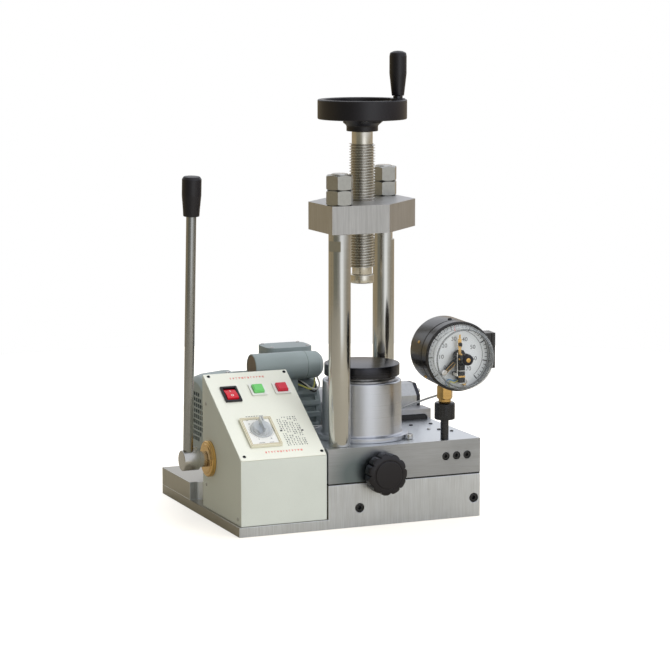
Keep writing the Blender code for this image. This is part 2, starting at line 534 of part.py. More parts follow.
def make_hand_pump():
    floor = DECK_TOP + GAP
    body = box("hand_pump_body", (-150, -60, floor), (-92.3, 60, floor + 9), "machined_steel")
    join(body, box("pump_barrel", (-125, -60, floor + 4), (-95, 12, PUMP_Z + 14)))
    join(body, box("shaft_leg", (-150, 29, floor + 4), (-132, 57, LEVER_Z + 14)))
    cut(body, rod("shaft_bore", SHAFT_RADIUS + GAP, -155, -130, None, LEVER_AXIS, 16))
    place = at(PUMP_X, 0, PUMP_Z, FRONT)
    cut(body, rod("plunger_bore", PLUNGER_RADIUS + GAP, -20, 48, None, place, 24))
    rod("hand_pump_plunger", PLUNGER_RADIUS, -PLUNGER_BACK, -PLUNGER_FRONT, "chrome", place, 24, 2.5)


def make_release_valve():
    place = at(VALVE_X, 0, VALVE_Z, FRONT)
    front = -BASE_FRONT
    rod("release_spindle", 6, front - VALVE_DEPTH + 1, front + 24, "machined_steel", place, 20)
    lobes, points = 11, 44
    outline = []
    for i in range(points):
        turn = 2 * math.pi * i / points
        radius = 27.4 + 1.8 * math.cos(lobes * turn)
        outline.append((radius * math.cos(turn), radius * math.sin(turn)))
    knob = plate("release_knob", [outline], front + 5, front + 27, "black_plastic", place)
    join(knob, rod("knob_neck", 12, front + 1, front + 10, None, place, 16))
    join(knob, rod("knob_disc", 17, front + 20, front + 29, None, place, 20, 1))
    cut(knob, rod("knob_bore", 6 + GAP, front, front + 24 + GAP, None, place, 14))


def finned_outline():
    """Motor frame section: straight fins round a drum."""
    outline = []
    for i in range(FINS):
        middle = 2 * math.pi * i / FINS
        fin = (FRAME_RADIUS, -0.09), (FIN_RADIUS, -0.055), (FIN_RADIUS, 0.055), (FRAME_RADIUS, 0.09)
        for radius, turn in fin:
            outline.append((radius * math.cos(middle + turn), radius * math.sin(middle + turn)))
    return outline


def make_motor():
    section = [finned_outline(), circle(MOTOR_BORE, 32)]
    plate("motor_frame", section, FRAME_LEFT, FRAME_RIGHT - GAP, "grey_paint", MOTOR_AXIS)

    bell = [(8, FRAME_RIGHT), (57, FRAME_RIGHT), (57, FRAME_RIGHT + 5), (46, MOTOR_RIGHT - 2)]
    bell += [(30, MOTOR_RIGHT), (8, MOTOR_RIGHT)]
    turned("motor_end_bell", bell[::-1], "grey_paint", MOTOR_AXIS, 24)

    skin, right, radius = COVER_SKIN, FRAME_LEFT - GAP, COVER_RADIUS
    cover = [(0, MOTOR_LEFT), (51, MOTOR_LEFT), (59, MOTOR_LEFT + 6), (62, MOTOR_LEFT + 16)]
    cover += [(radius, right - 8), (radius, right), (radius - skin, right), (radius - skin, right - 8)]
    cover += [(62 - skin, MOTOR_LEFT + 16), (58 - skin, MOTOR_LEFT + 7), (51 - skin, MOTOR_LEFT + skin)]
    cover += [(0, MOTOR_LEFT + skin)]
    turned("fan_cover", cover[::-1], "grey_paint", MOTOR_AXIS, 28)

    rotor = [(0, -199), (6, -199), (6, -146), (34.5, -146), (34.5, -50), (7, -50), (7, -1), (0, -1)]
    turned("motor_rotor", rotor[::-1], "machined_steel", MOTOR_AXIS, 20)
    disc = [(6 + GAP, -168), (45, -168), (45, -171), (12, -171), (12, -190), (6 + GAP, -190)]
    fan = turned("motor_fan", disc, "black_plastic", MOTOR_AXIS, 16)
    for number in range(FAN_BLADES):
        turn = Matrix.Rotation(2 * math.pi * number / FAN_BLADES, 4, "Z")
        join(fan, box(f"fan_blade_{number}", (10, -1.2, -188), (45, 1.2, -169), None, MOTOR_AXIS @ turn))

    low = (FOOT_LEFT, MOTOR_Y - FOOT_HALF, DECK_TOP + GAP)
    foot = box("motor_foot", low, (FOOT_RIGHT, MOTOR_Y + FOOT_HALF, FOOT_TOP), "grey_paint")
    saddle = FOOT_LEFT - 10, FOOT_RIGHT + 10
    cut(foot, rod("foot_saddle", FIN_RADIUS + GAP, *saddle, None, MOTOR_AXIS, 40))
    low = (TERMINAL_LEFT, TERMINAL_FRONT, MOTOR_Z + FIN_RADIUS + GAP)
    box("motor_terminal_box", low, (TERMINAL_RIGHT, TERMINAL_BACK, TERMINAL_TOP), "grey_paint")
    profile = [(0, CAPACITOR_RIGHT), (16, CAPACITOR_RIGHT), (CAPACITOR_RADIUS, CAPACITOR_RIGHT - 6)]
    profile += [(CAPACITOR_RADIUS, CAPACITOR_LEFT + 1), (CAPACITOR_RADIUS - 1, CAPACITOR_LEFT)]
    profile += [(0, CAPACITOR_LEFT)]
    turned("capacitor_can", profile, "grey_paint", at(0, CAPACITOR_Y, CAPACITOR_Z, SIDE), 24)


def gear_outline(phase):
    """Straight-flanked teeth with plenty of backlash."""
    outline = []
    for tooth in range(GEAR_TEETH):
        middle = phase + 2 * math.pi * tooth / GEAR_TEETH
        for radius, turn in ((5.9, -0.17), (9, -0.07), (9, 0.07), (5.9, 0.17)):
            outline.append((radius * math.cos(middle + turn), radius * math.sin(middle + turn)))
    return outline


def make_pump():
    left = MOTOR_RIGHT + GAP
    octagon = circle(PUMP_HALF / math.cos(math.pi / 8), 8, start=math.pi / 8)
    body = plate("pump_body", [octagon], left, PUMP_RIGHT, "ground_aluminium", MOTOR_AXIS)
    cut(body, rod("coupling_bay", 18, left - 1, 20, None, MOTOR_AXIS, 20))
    cut(body, rod("drive_bore", DRIVE_RADIUS + GAP, 19, GEAR_LEFT, None, MOTOR_AXIS, 20))
    below = at(0, MOTOR_Y, MOTOR_Z - GEAR_CENTRES, SIDE)
    chamber = GEAR_LEFT - GAP, PUMP_RIGHT + 1
    cut(body, rod("drive_chamber", GEAR_CHAMBER, *chamber, None, MOTOR_AXIS, 16))
    cut(body, rod("idler_chamber", GEAR_CHAMBER, *chamber, None, below, 16))
    cut(body, rod("idler_journal", IDLER_RADIUS + GAP, GEAR_LEFT - 9, GEAR_LEFT + 1, None, below, 16))

    faces = PUMP_RIGHT + GAP, PUMP_RIGHT + PUMP_COVER
    cover = plate("pump_end_cover", [octagon], *faces, "black_steel", MOTOR_AXIS)
    seat = PUMP_RIGHT - 1, PUMP_RIGHT + 4
    cut(cover, rod("drive_seat", DRIVE_RADIUS + GAP, *seat, None, MOTOR_AXIS, 16))
    cut(cover, rod("idler_seat", IDLER_RADIUS + GAP, *seat, None, below, 16))

    teeth = plate("pump_drive_gear", [gear_outline(0)], GEAR_LEFT, GEAR_RIGHT, "machined_steel", MOTOR_AXIS)
    join(teeth, rod("drive_shaft", DRIVE_RADIUS, 0, PUMP_RIGHT + 3, None, MOTOR_AXIS, 20))
    half_tooth = math.pi / GEAR_TEETH
    teeth = [gear_outline(half_tooth)]
    idler = plate("pump_idler_gear", teeth, GEAR_LEFT, GEAR_RIGHT, "machined_steel", below)
    join(idler, rod("idler_shaft", IDLER_RADIUS, GEAR_LEFT - 8, PUMP_RIGHT + 3, None, below, 16))

    ring = [(7 + GAP, -14), (7 + GAP, 0), (DRIVE_RADIUS + GAP, 0), (DRIVE_RADIUS + GAP, 14)]
    ring += [(14, 14), (14, -14)]
    turned("shaft_coupling", ring, "machined_steel", MOTOR_AXIS, 16)


def make_gauge():
    place = at(GAUGE_X, GAUGE_Y, 0)
    rod("gauge_stem", STEM_RADIUS, BLOCK_TOP - 12, 152, "black_steel", place, 20)
    nut = [(8.5, 172), (14.2, 172), (15, 171), (15, 148), (14, 147), (STEM_RADIUS + GAP, 147)]
    nut += [(STEM_RADIUS + GAP, 153), (8.5, 153)]
    turned("gauge_union_nut", nut, "black_steel", place, 20)
    neck = [(0, 211), (6, 211), (6, 176), (8.2, 176), (8.2, 155), (0, 155)]
    connector = turned("gauge_connector", neck, "brass", place, 16)
    hexagon = circle(10.5 / math.cos(math.pi / 6), 6, start=GAUGE_TURN)
    join(connector, plate("connector_hex", [hexagon], 177, GAUGE_Z - CASE_RADIUS - GAP, None, place))

    wall, back = 2.5, CASE_BACK
    profile = [(0, back + wall), (CASE_RADIUS - wall, back + wall), (CASE_RADIUS - wall, CASE_FRONT)]
    profile += [(CASE_RADIUS, CASE_FRONT), (CASE_RADIUS - 1, back + 2), (CASE_RADIUS - 3, back), (0, back)]
    case = turned("gauge_case", profile, "black_plastic", GAUGE, 36)
    cut(case, rod("connector_hole", 6 + GAP, 190, 215, None, place, 14))
    case_inside = CASE_RADIUS - wall - GAP
    plate("gauge_dial", [circle(case_inside, 36), circle(3.2, 12)], DIAL_LOW, DIAL_HIGH, "dial_white", GAUGE)

    window = [(3.3, WINDOW_FRONT), (42, WINDOW_FRONT), (45.5, WINDOW_FRONT - 4), (46.5, CASE_FRONT + 2.5)]
    flange = CASE_RADIUS - 0.5
    window += [(flange, CASE_FRONT + 2.5), (flange, CASE_FRONT + GAP), (44.5, CASE_FRONT + GAP)]
    window += [(43.5, WINDOW_FRONT - 4), (41, WINDOW_FRONT - 2), (3.3, WINDOW_FRONT - 2)]
    turned("gauge_window", window, "clear_plastic", GAUGE, 36)

    hand = [(-2, -12), (2, -12), (2.2, 0), (0.6, POINTER_LENGTH), (-0.6, POINTER_LENGTH), (-2.2, 0)]
    rest = Matrix.Rotation(math.radians(135), 4, "Z")
    pointer = plate("gauge_pointer", [hand], 57, 57.8, "black_plastic", GAUGE @ rest)
    join(pointer, rod("pointer_boss", 2.9, 50, 59, None, GAUGE, 16))
    knob = [(0, 100), (4.5, 100), (8, 98), (8.5, 88), (3, 88), (3, 62), (0, 62)]
    setting = turned("gauge_setting_knob", knob, "black_plastic", GAUGE, 16)
    join(setting, box("setting_hand", (-1.2, 0, 62.5), (1.2, SETTING_LENGTH, 63.3), None, GAUGE))

    box("gauge_terminal_box", (CASE_RADIUS + 0.5, -27, -11), (72, 25, 16), "black_plastic", GAUGE)


def smooth_route(points, steps):
    """Points on a Catmull-Rom curve through the route."""
    ends = [points[0], *points, points[-1]]
    ends = [Vector(p) for p in ends]
    curve = []
    for before, start, end, after in zip(ends, ends[1:], ends[2:], ends[3:]):
        for i in range(steps):
            t = i / steps
            bend = 2 * before - 5 * start + 4 * end - after
            twist = 3 * start - before - 3 * end + after
            curve.append((2 * start + (end - before) * t + bend * t * t + twist * t**3) / 2)
    return [*curve, ends[-1]]


def make_gauge_lead():
    curve = bpy.data.curves.new("gauge_lead", "CURVE")
    curve.dimensions = "3D"
    curve.bevel_depth = LEAD_RADIUS * MM
    curve.bevel_resolution = 2
    curve.use_fill_caps = True
    points = smooth_route(LEAD_ROUTE, 2)
    spline = curve.splines.new("POLY")
    spline.points.add(len(points) - 1)
    for point, place in zip(spline.points, points):
        point.co = (*(place * MM), 1)
    lead = bpy.data.objects.new("gauge_lead", curve)
    PARTS.objects.link(lead)
    paint(lead, "grey_cable")


clear_scene()
PARTS = new_collection("tablet_press")
CUTTERS = new_collection("cutters")
CUTTERS.hide_render = True
make_base()
make_hydraulic_block()
make_columns()
make_crosshead()
make_ram()
make_screw()
make_handwheel()
make_rear_block()
make_control_box()
make_switches()
make_timer()
make_lever()
make_hand_pump()
make_release_valve()
make_motor()
make_pump()
make_gauge()
make_gauge_lead()
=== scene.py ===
"""Tablet press, dressed: the detailed pieces, finishes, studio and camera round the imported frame.

Sizes are in millimetres and the scene in metres. +Z is up, -Y is the front, and the origin is on the
press axis at the underside of the base. Each piece has its own short function.
"""

import json
import math

import bmesh
import bpy
from mathutils import Matrix, Vector

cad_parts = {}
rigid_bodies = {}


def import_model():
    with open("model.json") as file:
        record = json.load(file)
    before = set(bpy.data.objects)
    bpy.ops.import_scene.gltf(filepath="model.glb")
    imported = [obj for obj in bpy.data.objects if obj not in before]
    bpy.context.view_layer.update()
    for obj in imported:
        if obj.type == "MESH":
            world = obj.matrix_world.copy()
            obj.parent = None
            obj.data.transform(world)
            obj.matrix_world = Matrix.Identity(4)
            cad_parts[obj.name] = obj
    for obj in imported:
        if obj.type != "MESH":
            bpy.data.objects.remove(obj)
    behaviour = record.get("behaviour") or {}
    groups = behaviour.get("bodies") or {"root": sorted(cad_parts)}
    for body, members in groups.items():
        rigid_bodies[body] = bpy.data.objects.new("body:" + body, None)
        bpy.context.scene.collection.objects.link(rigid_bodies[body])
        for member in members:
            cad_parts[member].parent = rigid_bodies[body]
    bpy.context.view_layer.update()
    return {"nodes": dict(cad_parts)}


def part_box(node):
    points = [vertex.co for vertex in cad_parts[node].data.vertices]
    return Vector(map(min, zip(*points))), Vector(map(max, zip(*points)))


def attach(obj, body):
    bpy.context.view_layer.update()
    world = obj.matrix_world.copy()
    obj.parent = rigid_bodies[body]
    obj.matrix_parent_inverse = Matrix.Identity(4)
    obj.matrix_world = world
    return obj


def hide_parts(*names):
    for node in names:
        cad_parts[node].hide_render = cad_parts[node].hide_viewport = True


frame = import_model()

MM = 0.001
GAP = 0.3
WELD = 0.00001
RELIEF_DEPTH = 0.05

# Frames: local z is the direction in which a turned profile's heights run.
UPRIGHT = Matrix.Identity(4)
FRONT = Matrix.Rotation(math.pi / 2, 4, "X")
SIDE = Matrix(((0, 0, 1), (1, 0, 0), (0, 1, 0))).to_4x4()


def at(x, y, z, frame_of=UPRIGHT):
    return Matrix.Translation(Vector((x, y, z)) * MM) @ frame_of


def corners(node):
    """A CAD node's lowest and highest corners, in millimetres."""
    low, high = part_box(node)
    return low / MM, high / MM


def spin(degrees):
    return Matrix.Rotation(math.radians(degrees), 4, "Z")


BASE_LOW, BASE_HIGH = corners("base_plate")
BLOCK_LOW, BLOCK_HIGH = corners("hydraulic_block")
BOX_LOW, BOX_HIGH = corners("control_box")
HEAD_LOW, HEAD_HIGH = corners("crosshead")
BOX_LIP, BOX_CREST = 108.5, 209.5
PANEL_SLOPE = math.atan2(BOX_CREST - BOX_LIP, BOX_HIGH.y - BOX_LOW.y)
PANEL_LENGTH = math.hypot(BOX_CREST - BOX_LIP, BOX_HIGH.y - BOX_LOW.y)
PANEL = at(0, BOX_LOW.y, BOX_LIP, Matrix.Rotation(PANEL_SLOPE, 4, "X"))
SKIN = 1.8

LEVER_X, LEVER_Y, LEVER_Z, LEVER_LEAN = -257, 43, 91.5, math.radians(3.7)
LEVER_AXIS = at(0, LEVER_Y, LEVER_Z, SIDE)
LEVER_ROD = at(LEVER_X, LEVER_Y, LEVER_Z, Matrix.Rotation(LEVER_LEAN, 4, "X"))
MOTOR_Y, MOTOR_Z = 149, 137
MOTOR_AXIS = at(0, MOTOR_Y, MOTOR_Z, SIDE)
CAPACITOR_AXIS = at(0, 104, 210.5, SIDE)
VALVE_X, VALVE_Z = -5.5, 78
GAUGE_X, GAUGE_Y, GAUGE_Z, GAUGE_TURN = 100, -74, 248.5, math.radians(-6)
GAUGE = at(GAUGE_X, GAUGE_Y, GAUGE_Z, Matrix.Rotation(GAUGE_TURN, 4, "Z") @ FRONT)
GAUGE_POST = at(GAUGE_X, GAUGE_Y, 0)


# ---------------------------------------------------------------- shapes

def rounded(outline, closed=True, steps=6):
    """The outline, with an arc at each corner whose point carries a radius as a third number."""
    result = []
    last = len(outline) - 1
    for index, point in enumerate(outline):
        at_end = not closed and index in (0, last)
        if len(point) < 3 or at_end:
            result.append(tuple(point[:2]))
            continue
        here = Vector(point[:2])
        before = Vector(outline[index - 1][:2]) - here
        after = Vector(outline[(index + 1) % len(outline)][:2]) - here
        half = before.angle(after) / 2
        reach = min(point[2] / math.tan(half), before.length * 0.49, after.length * 0.49)
        radius = reach * math.tan(half)
        middle = (before.normalized() + after.normalized()).normalized()
        centre = here + middle * (radius / math.sin(half))
        start = here + before.normalized() * reach - centre
        end = here + after.normalized() * reach - centre
        for step in range(steps + 1):
            share = step / steps
            towards = (start * (1 - share) + end * share).normalized()
            result.append(tuple(centre + towards * radius))
    return result


def polar(radius, degrees):
    angle = math.radians(degrees)
    return radius * math.cos(angle), radius * math.sin(angle)


def circle(radius, sides=96, x=0, y=0, start=0):
    turns = [start + 2 * math.pi * i / sides for i in range(sides)]
    return [(x + radius * math.cos(a), y + radius * math.sin(a)) for a in turns]


def inner_corners(low, high, inset_x, inset_y):
    """The four (x, y) places at an inset from a box's corners, as for its screws."""
    ys = (low.y + inset_y, high.y - inset_y)
    return [(x, y) for x in (low.x + inset_x, high.x - inset_x) for y in ys]


def rectangle(left, low, right, high, corner=0):
    points = [(left, low), (right, low), (right, high), (left, high)]
    return rounded([(*p, corner) for p in points]) if corner else points


def finish_mesh(work, name, sharp=30):
    bmesh.ops.remove_doubles(work, verts=work.verts, dist=WELD)
    bmesh.ops.recalc_face_normals(work, faces=work.faces)
    mesh = bpy.data.meshes.new(name)
    work.to_mesh(mesh)
    work.free()
    mesh.shade_smooth()
    mesh.set_sharp_from_angle(angle=math.radians(sharp))
    return mesh


def turned(profile, sides=96, ring=False):
    """A turned solid. The (radius, height) profile meets the axis at both ends, or closes as a ring."""
    work = bmesh.new()
    rows = []
    for radius, height in profile:
        count = sides if radius > 0.001 else 1
        turns = [2 * math.pi * i / count for i in range(count)]
        points = [(radius * math.cos(a), radius * math.sin(a), height) for a in turns]
        rows.append([work.verts.new(Vector(p) * MM) for p in points])
    pairs = list(zip(rows, rows[1:]))
    if ring:
        pairs.append((rows[-1], rows[0]))
    for upper, lower in pairs:
        for i in range(sides):
            j = i + 1
            loop = [upper[i % len(upper)], lower[i % len(lower)]]
            loop += [lower[j % len(lower)], upper[j % len(upper)]]
            loop = list(dict.fromkeys(loop))
            if len(loop) > 2:
                work.faces.new(loop)
    return finish_mesh(work, "turned")


def lathe(profile, sides=96, steps=6, ring=False):
    """A turned solid with an arc at each corner of its profile that carries a radius."""
    return turned(rounded(profile, closed=ring, steps=steps), sides, ring)


def bar(radius, low, high, sides=64, edge=0.5):
    """A round bar with rounded ends."""
    return lathe([(0, high), (radius, high, edge), (radius, low, edge), (0, low)], sides, 3)


def prism(outlines, low, high):
    """A flat outline with its holes, as a solid between two heights."""
    curve = bpy.data.curves.new("outline", "CURVE")
    curve.dimensions = "2D"
    curve.fill_mode = "BOTH"
    curve.extrude = (high - low) / 2 * MM
    for outline in outlines:
        spline = curve.splines.new("POLY")
        spline.points.add(len(outline) - 1)
        for point, (x, y) in zip(spline.points, outline):
            point.co = (x * MM, y * MM, 0, 1)
        spline.use_cyclic_u = True
    mesh = baked(curve)
    bpy.data.curves.remove(curve)
    work = bmesh.new()
    work.from_mesh(mesh)
    bmesh.ops.remove_doubles(work, verts=work.verts, dist=WELD)
    bmesh.ops.dissolve_limit(work, angle_limit=math.radians(1), verts=work.verts, edges=work.edges)
    bmesh.ops.translate(work, verts=work.verts, vec=(0, 0, (high + low) / 2 * MM))
    return finish_mesh(work, "prism")


def brick(low, high):
    low, high = Vector(low) * MM, Vector(high) * MM
    work = bmesh.new()
    shape = Matrix.Translation((low + high) / 2) @ Matrix.Diagonal((*(high - low), 1))
    bmesh.ops.create_cube(work, size=1, matrix=shape)
    return finish_mesh(work, "brick")


def baked(data):
    """A curve's or a text's own mesh."""
    guide = bpy.data.objects.new("guide", data)
    bpy.context.scene.collection.objects.link(guide)
    graph = bpy.context.evaluated_depsgraph_get()
    mesh = bpy.data.meshes.new_from_object(guide.evaluated_get(graph))
    bpy.data.objects.remove(guide, do_unlink=True)
    return mesh


def label(text, size, depth):
    """Raised lettering, used for the numbers on the dials."""
    curve = bpy.data.curves.new("label", "FONT")
    curve.body = text
    curve.size = size * MM
    curve.extrude = depth / 2 * MM
    curve.align_x = "CENTER"
    curve.align_y = "CENTER"
    mesh = baked(curve)
    bpy.data.curves.remove(curve)
    return mesh


def tube(route, radius, sides=4):
    """A round wire through the route's points, in world millimetres."""
    curve = bpy.data.curves.new("route", "CURVE")
    curve.dimensions = "3D"
    curve.bevel_depth = radius * MM
    curve.bevel_resolution = sides
    curve.use_fill_caps = True
    points = smooth_route(route, 6)
    spline = curve.splines.new("POLY")
    spline.points.add(len(points) - 1)
    for point, place in zip(spline.points, points):
        point.co = (*(place * MM), 1)
    mesh = baked(curve)
    bpy.data.curves.remove(curve)
    work = bmesh.new()
    work.from_mesh(mesh)
    return finish_mesh(work, "tube", 40)


def smooth_route(points, steps):
    """Points on a Catmull-Rom curve through the route."""
    ends = [Vector(p) for p in (points[0], *points, points[-1])]
    curve = []
    for before, start, end, after in zip(ends, ends[1:], ends[2:], ends[3:]):
        for i in range(steps):
            t = i / steps
            bend = 2 * before - 5 * start + 4 * end - after
            twist = 3 * start - before - 3 * end + after
            curve.append((2 * start + (end - before) * t + bend * t * t + twist * t**3) / 2)
    return [*curve, ends[-1]]


def merged(*parts):
    """One mesh from several (mesh, place) solids that stay separate bodies."""
    work = bmesh.new()
    for mesh, place in parts:
        copy = mesh.copy()
        copy.transform(place)
        work.from_mesh(copy)
        bpy.data.meshes.remove(copy)
    mesh = bpy.data.meshes.new("merged")
    work.to_mesh(mesh)
    work.free()
    mesh.shade_smooth()
    mesh.set_sharp_from_angle(angle=math.radians(30))
    return mesh


def combined(mesh, *steps):
    """The mesh after each (operation, mesh, place) Boolean."""
    links = bpy.context.scene.collection.objects
    base = bpy.data.objects.new("work", mesh)
    links.link(base)
    helpers = [base]
    for operation, other, place in steps:
        helper = bpy.data.objects.new("helper", other)
        links.link(helper)
        helper.matrix_world = place
        boolean = base.modifiers.new(operation, "BOOLEAN")
        boolean.operation = operation
        boolean.object = helper
        helpers.append(helper)
    bpy.context.view_layer.update()
    graph = bpy.context.evaluated_depsgraph_get()
    result = bpy.data.meshes.new_from_object(base.evaluated_get(graph))
    for helper in helpers:
        bpy.data.objects.remove(helper, do_unlink=True)
    work = bmesh.new()
    work.from_mesh(result)
    bmesh.ops.dissolve_limit(work, angle_limit=math.radians(0.5), verts=work.verts, edges=work.edges)
    return finish_mesh(work, "combined")


def cut(mesh, *steps):
    return combined(mesh, *[("DIFFERENCE", other, place) for other, place in steps])


def joined(mesh, *steps):
    return combined(mesh, *[("UNION", other, place) for other, place in steps])


def add(name, mesh, look, place=UPRIGHT, body="frame", stands_for=(), edge=0.0, segments=3):
    """Puts a piece in the scene in its finish, on its body and in place of its CAD nodes."""
    look = LOOK[look]
    obj = bpy.data.objects.new(name, mesh)
    bpy.context.scene.collection.objects.link(obj)
    obj.matrix_world = place
    mesh.materials.clear()
    mesh.materials.append(look)
    if edge:
        bevel = obj.modifiers.new("Edges", "BEVEL")
        bevel.width = edge * MM
        bevel.segments = segments
        bevel.limit_method = "ANGLE"
        bevel.angle_limit = math.radians(32)
        bevel.harden_normals = True
    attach(obj, body)
    if stands_for:
        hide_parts(*stands_for)


def dress(node, look):
    """Gives a carried-over CAD node its finish."""
    look = LOOK[look]
    obj = frame["nodes"][node]
    obj.data.materials.clear()
    obj.data.materials.append(look)


# ---------------------------------------------------------------- finishes

def shade(tree, kind, inputs=None, **settings):
    """A shader node. An input takes a socket or a value."""
    made = tree.nodes.new("ShaderNode" + kind)
    for name, value in settings.items():
        setattr(made, name, value)
    for key, value in (inputs or {}).items():
        if isinstance(value, bpy.types.NodeSocket):
            tree.links.new(value, made.inputs[key])
        else:
            made.inputs[key].default_value = value
    return made


def new_look(name, slot, roughness, metallic=0.0):
    material = bpy.data.materials.new(name)
    material.use_nodes = True
    material["slot"] = slot
    tree = material.node_tree
    shader = tree.nodes["Principled BSDF"]
    shader.inputs["Roughness"].default_value = roughness
    shader.inputs["Metallic"].default_value = metallic
    return material, tree, shader


def grain_vector(tree, grain):
    """Object coordinates, drawn out along the grain, or as radius and height on turned work."""
    place = shade(tree, "TexCoord").outputs["Object"]
    if grain == "turned":
        parts = shade(tree, "SeparateXYZ", {0: place})
        flat = shade(tree, "CombineXYZ", {0: parts.outputs[0], 1: parts.outputs[1]})
        radius = shade(tree, "VectorMath", {0: flat.outputs[0]}, operation="LENGTH")
        return shade(tree, "CombineXYZ", {0: radius.outputs["Value"], 2: parts.outputs[2]}).outputs[0]
    stretch = {"x": (0.03, 1, 1), "y": (1, 0.03, 1), "z": (1, 1, 0.03), "none": (1, 1, 1)}[grain]
    return shade(tree, "Mapping", {"Vector": place, "Scale": stretch}).outputs[0]


def noise(tree, vector, scale, detail=2.0):
    return shade(tree, "TexNoise", {"Vector": vector, "Scale": scale, "Detail": detail}).outputs["Fac"]


def spread(tree, value, low, high, start=0.3, end=0.7):
    """The value's middle stretch, spread between two numbers."""
    inputs = {"Value": value, "From Min": start, "From Max": end, "To Min": low, "To Max": high}
    return shade(tree, "MapRange", inputs).outputs["Result"]


def blend(tree, share, first, second):
    """A colour between two colours, each a socket or three numbers."""
    colours = [c if isinstance(c, bpy.types.NodeSocket) else (*c, 1) for c in (first, second)]
    return shade(tree, "Mix", {0: share, 6: colours[0], 7: colours[1]}, data_type="RGBA").outputs[2]


def tint(colour, factor):
    return tuple(min(1.0, c * factor) for c in colour)


def relief(tree, shader, height, strength):
    inputs = {"Height": height, "Strength": strength, "Distance": RELIEF_DEPTH * MM}
    tree.links.new(shade(tree, "Bump", inputs).outputs[0], shader.inputs["Normal"])


def worn_edges(tree, width):
    """0 on a flat and 1 on an edge: the mask for edge wear and for painted edge highlights."""
    soft = shade(tree, "Bevel", {"Radius": width * MM}, samples=4)
    flat = shade(tree, "NewGeometry")
    inputs = {0: soft.outputs[0], 1: flat.outputs["Normal"]}
    along = shade(tree, "VectorMath", inputs, operation="DOT_PRODUCT").outputs["Value"]
    return spread(tree, along, 1.0, 0.0, 0.85, 0.99)


def metal(name, slot, colour, roughness, grain="none", contrast=0.12, lines=(380, 1500), bump=0.12,
          stain=0.06, edge_wear_and_highlight=0.0):
    """Cut, ground or turned metal: fine lines along its grain, faint stains, and edges painted brighter,
    partly as wear and partly as a painted highlight.
    """
    material, tree, shader = new_look(name, slot, roughness, 1.0)
    along = grain_vector(tree, grain)
    plain = grain_vector(tree, "none")
    coarse, fine = noise(tree, along, lines[0], 3), noise(tree, along, lines[1], 2)
    mark = shade(tree, "Math", {0: coarse, 1: fine}, operation="ADD").outputs[0]
    half = shade(tree, "Math", {0: mark, 1: 0.5}, operation="MULTIPLY").outputs[0]
    tone = blend(
        tree, spread(tree, half, 0, 1, 0.36, 0.64), tint(colour, 1 - contrast),
        tint(colour, 1 + contrast),
    )
    cloud = noise(tree, plain, 14, 4)
    base = blend(tree, spread(tree, cloud, 0, stain * 4, 0.35, 0.75), tone, tint(colour, 0.6))
    # Brighter edges: partly edge wear, partly a painted highlight where light catches the edges.
    if edge_wear_and_highlight:
        base = blend(tree, worn_edges(tree, edge_wear_and_highlight), base, tint(colour, 1.45))
    tree.links.new(base, shader.inputs["Base Color"])
    rough = spread(tree, half, roughness * 0.85, min(1, roughness * 1.2))
    tree.links.new(rough, shader.inputs["Roughness"])
    relief(tree, shader, half, bump)
    return material


def paint(name, slot, colour, roughness, peel=420, bump=0.25, dirt=0.05):
    """Sprayed or moulded: an orange-peel skin, faint uneven colour and small specks."""
    material, tree, shader = new_look(name, slot, roughness)
    plain = grain_vector(tree, "none")
    skin, cloud = noise(tree, plain, peel, 2), noise(tree, plain, 18, 5)
    tone = blend(tree, spread(tree, cloud, 0, 1), tint(colour, 1 - dirt), tint(colour, 1 + dirt))
    speck = noise(tree, plain, 900, 1)
    tone = blend(tree, spread(tree, speck, 0, 0.25, 0.6, 0.8), tone, tint(colour, 0.75))
    tree.links.new(tone, shader.inputs["Base Color"])
    tree.links.new(spread(tree, cloud, roughness * 0.9, roughness * 1.12), shader.inputs["Roughness"])
    relief(tree, shader, skin, bump)
    return material


def clear(name, slot, colour, roughness, face_alpha, edge_alpha):
    """Clear plastic: seen through face on, and filling in towards its edges."""
    material, tree, shader = new_look(name, slot, roughness)
    plain = grain_vector(tree, "none")
    tone = blend(tree, spread(tree, noise(tree, plain, 60, 2), 0, 1), colour, tint(colour, 0.93))
    tree.links.new(tone, shader.inputs["Base Color"])
    facing = shade(tree, "LayerWeight", {"Blend": 0.35}).outputs["Facing"]
    tree.links.new(spread(tree, facing, face_alpha, edge_alpha, 0.1, 1.0), shader.inputs["Alpha"])
    relief(tree, shader, noise(tree, plain, 35, 2), 0.05)
    return material


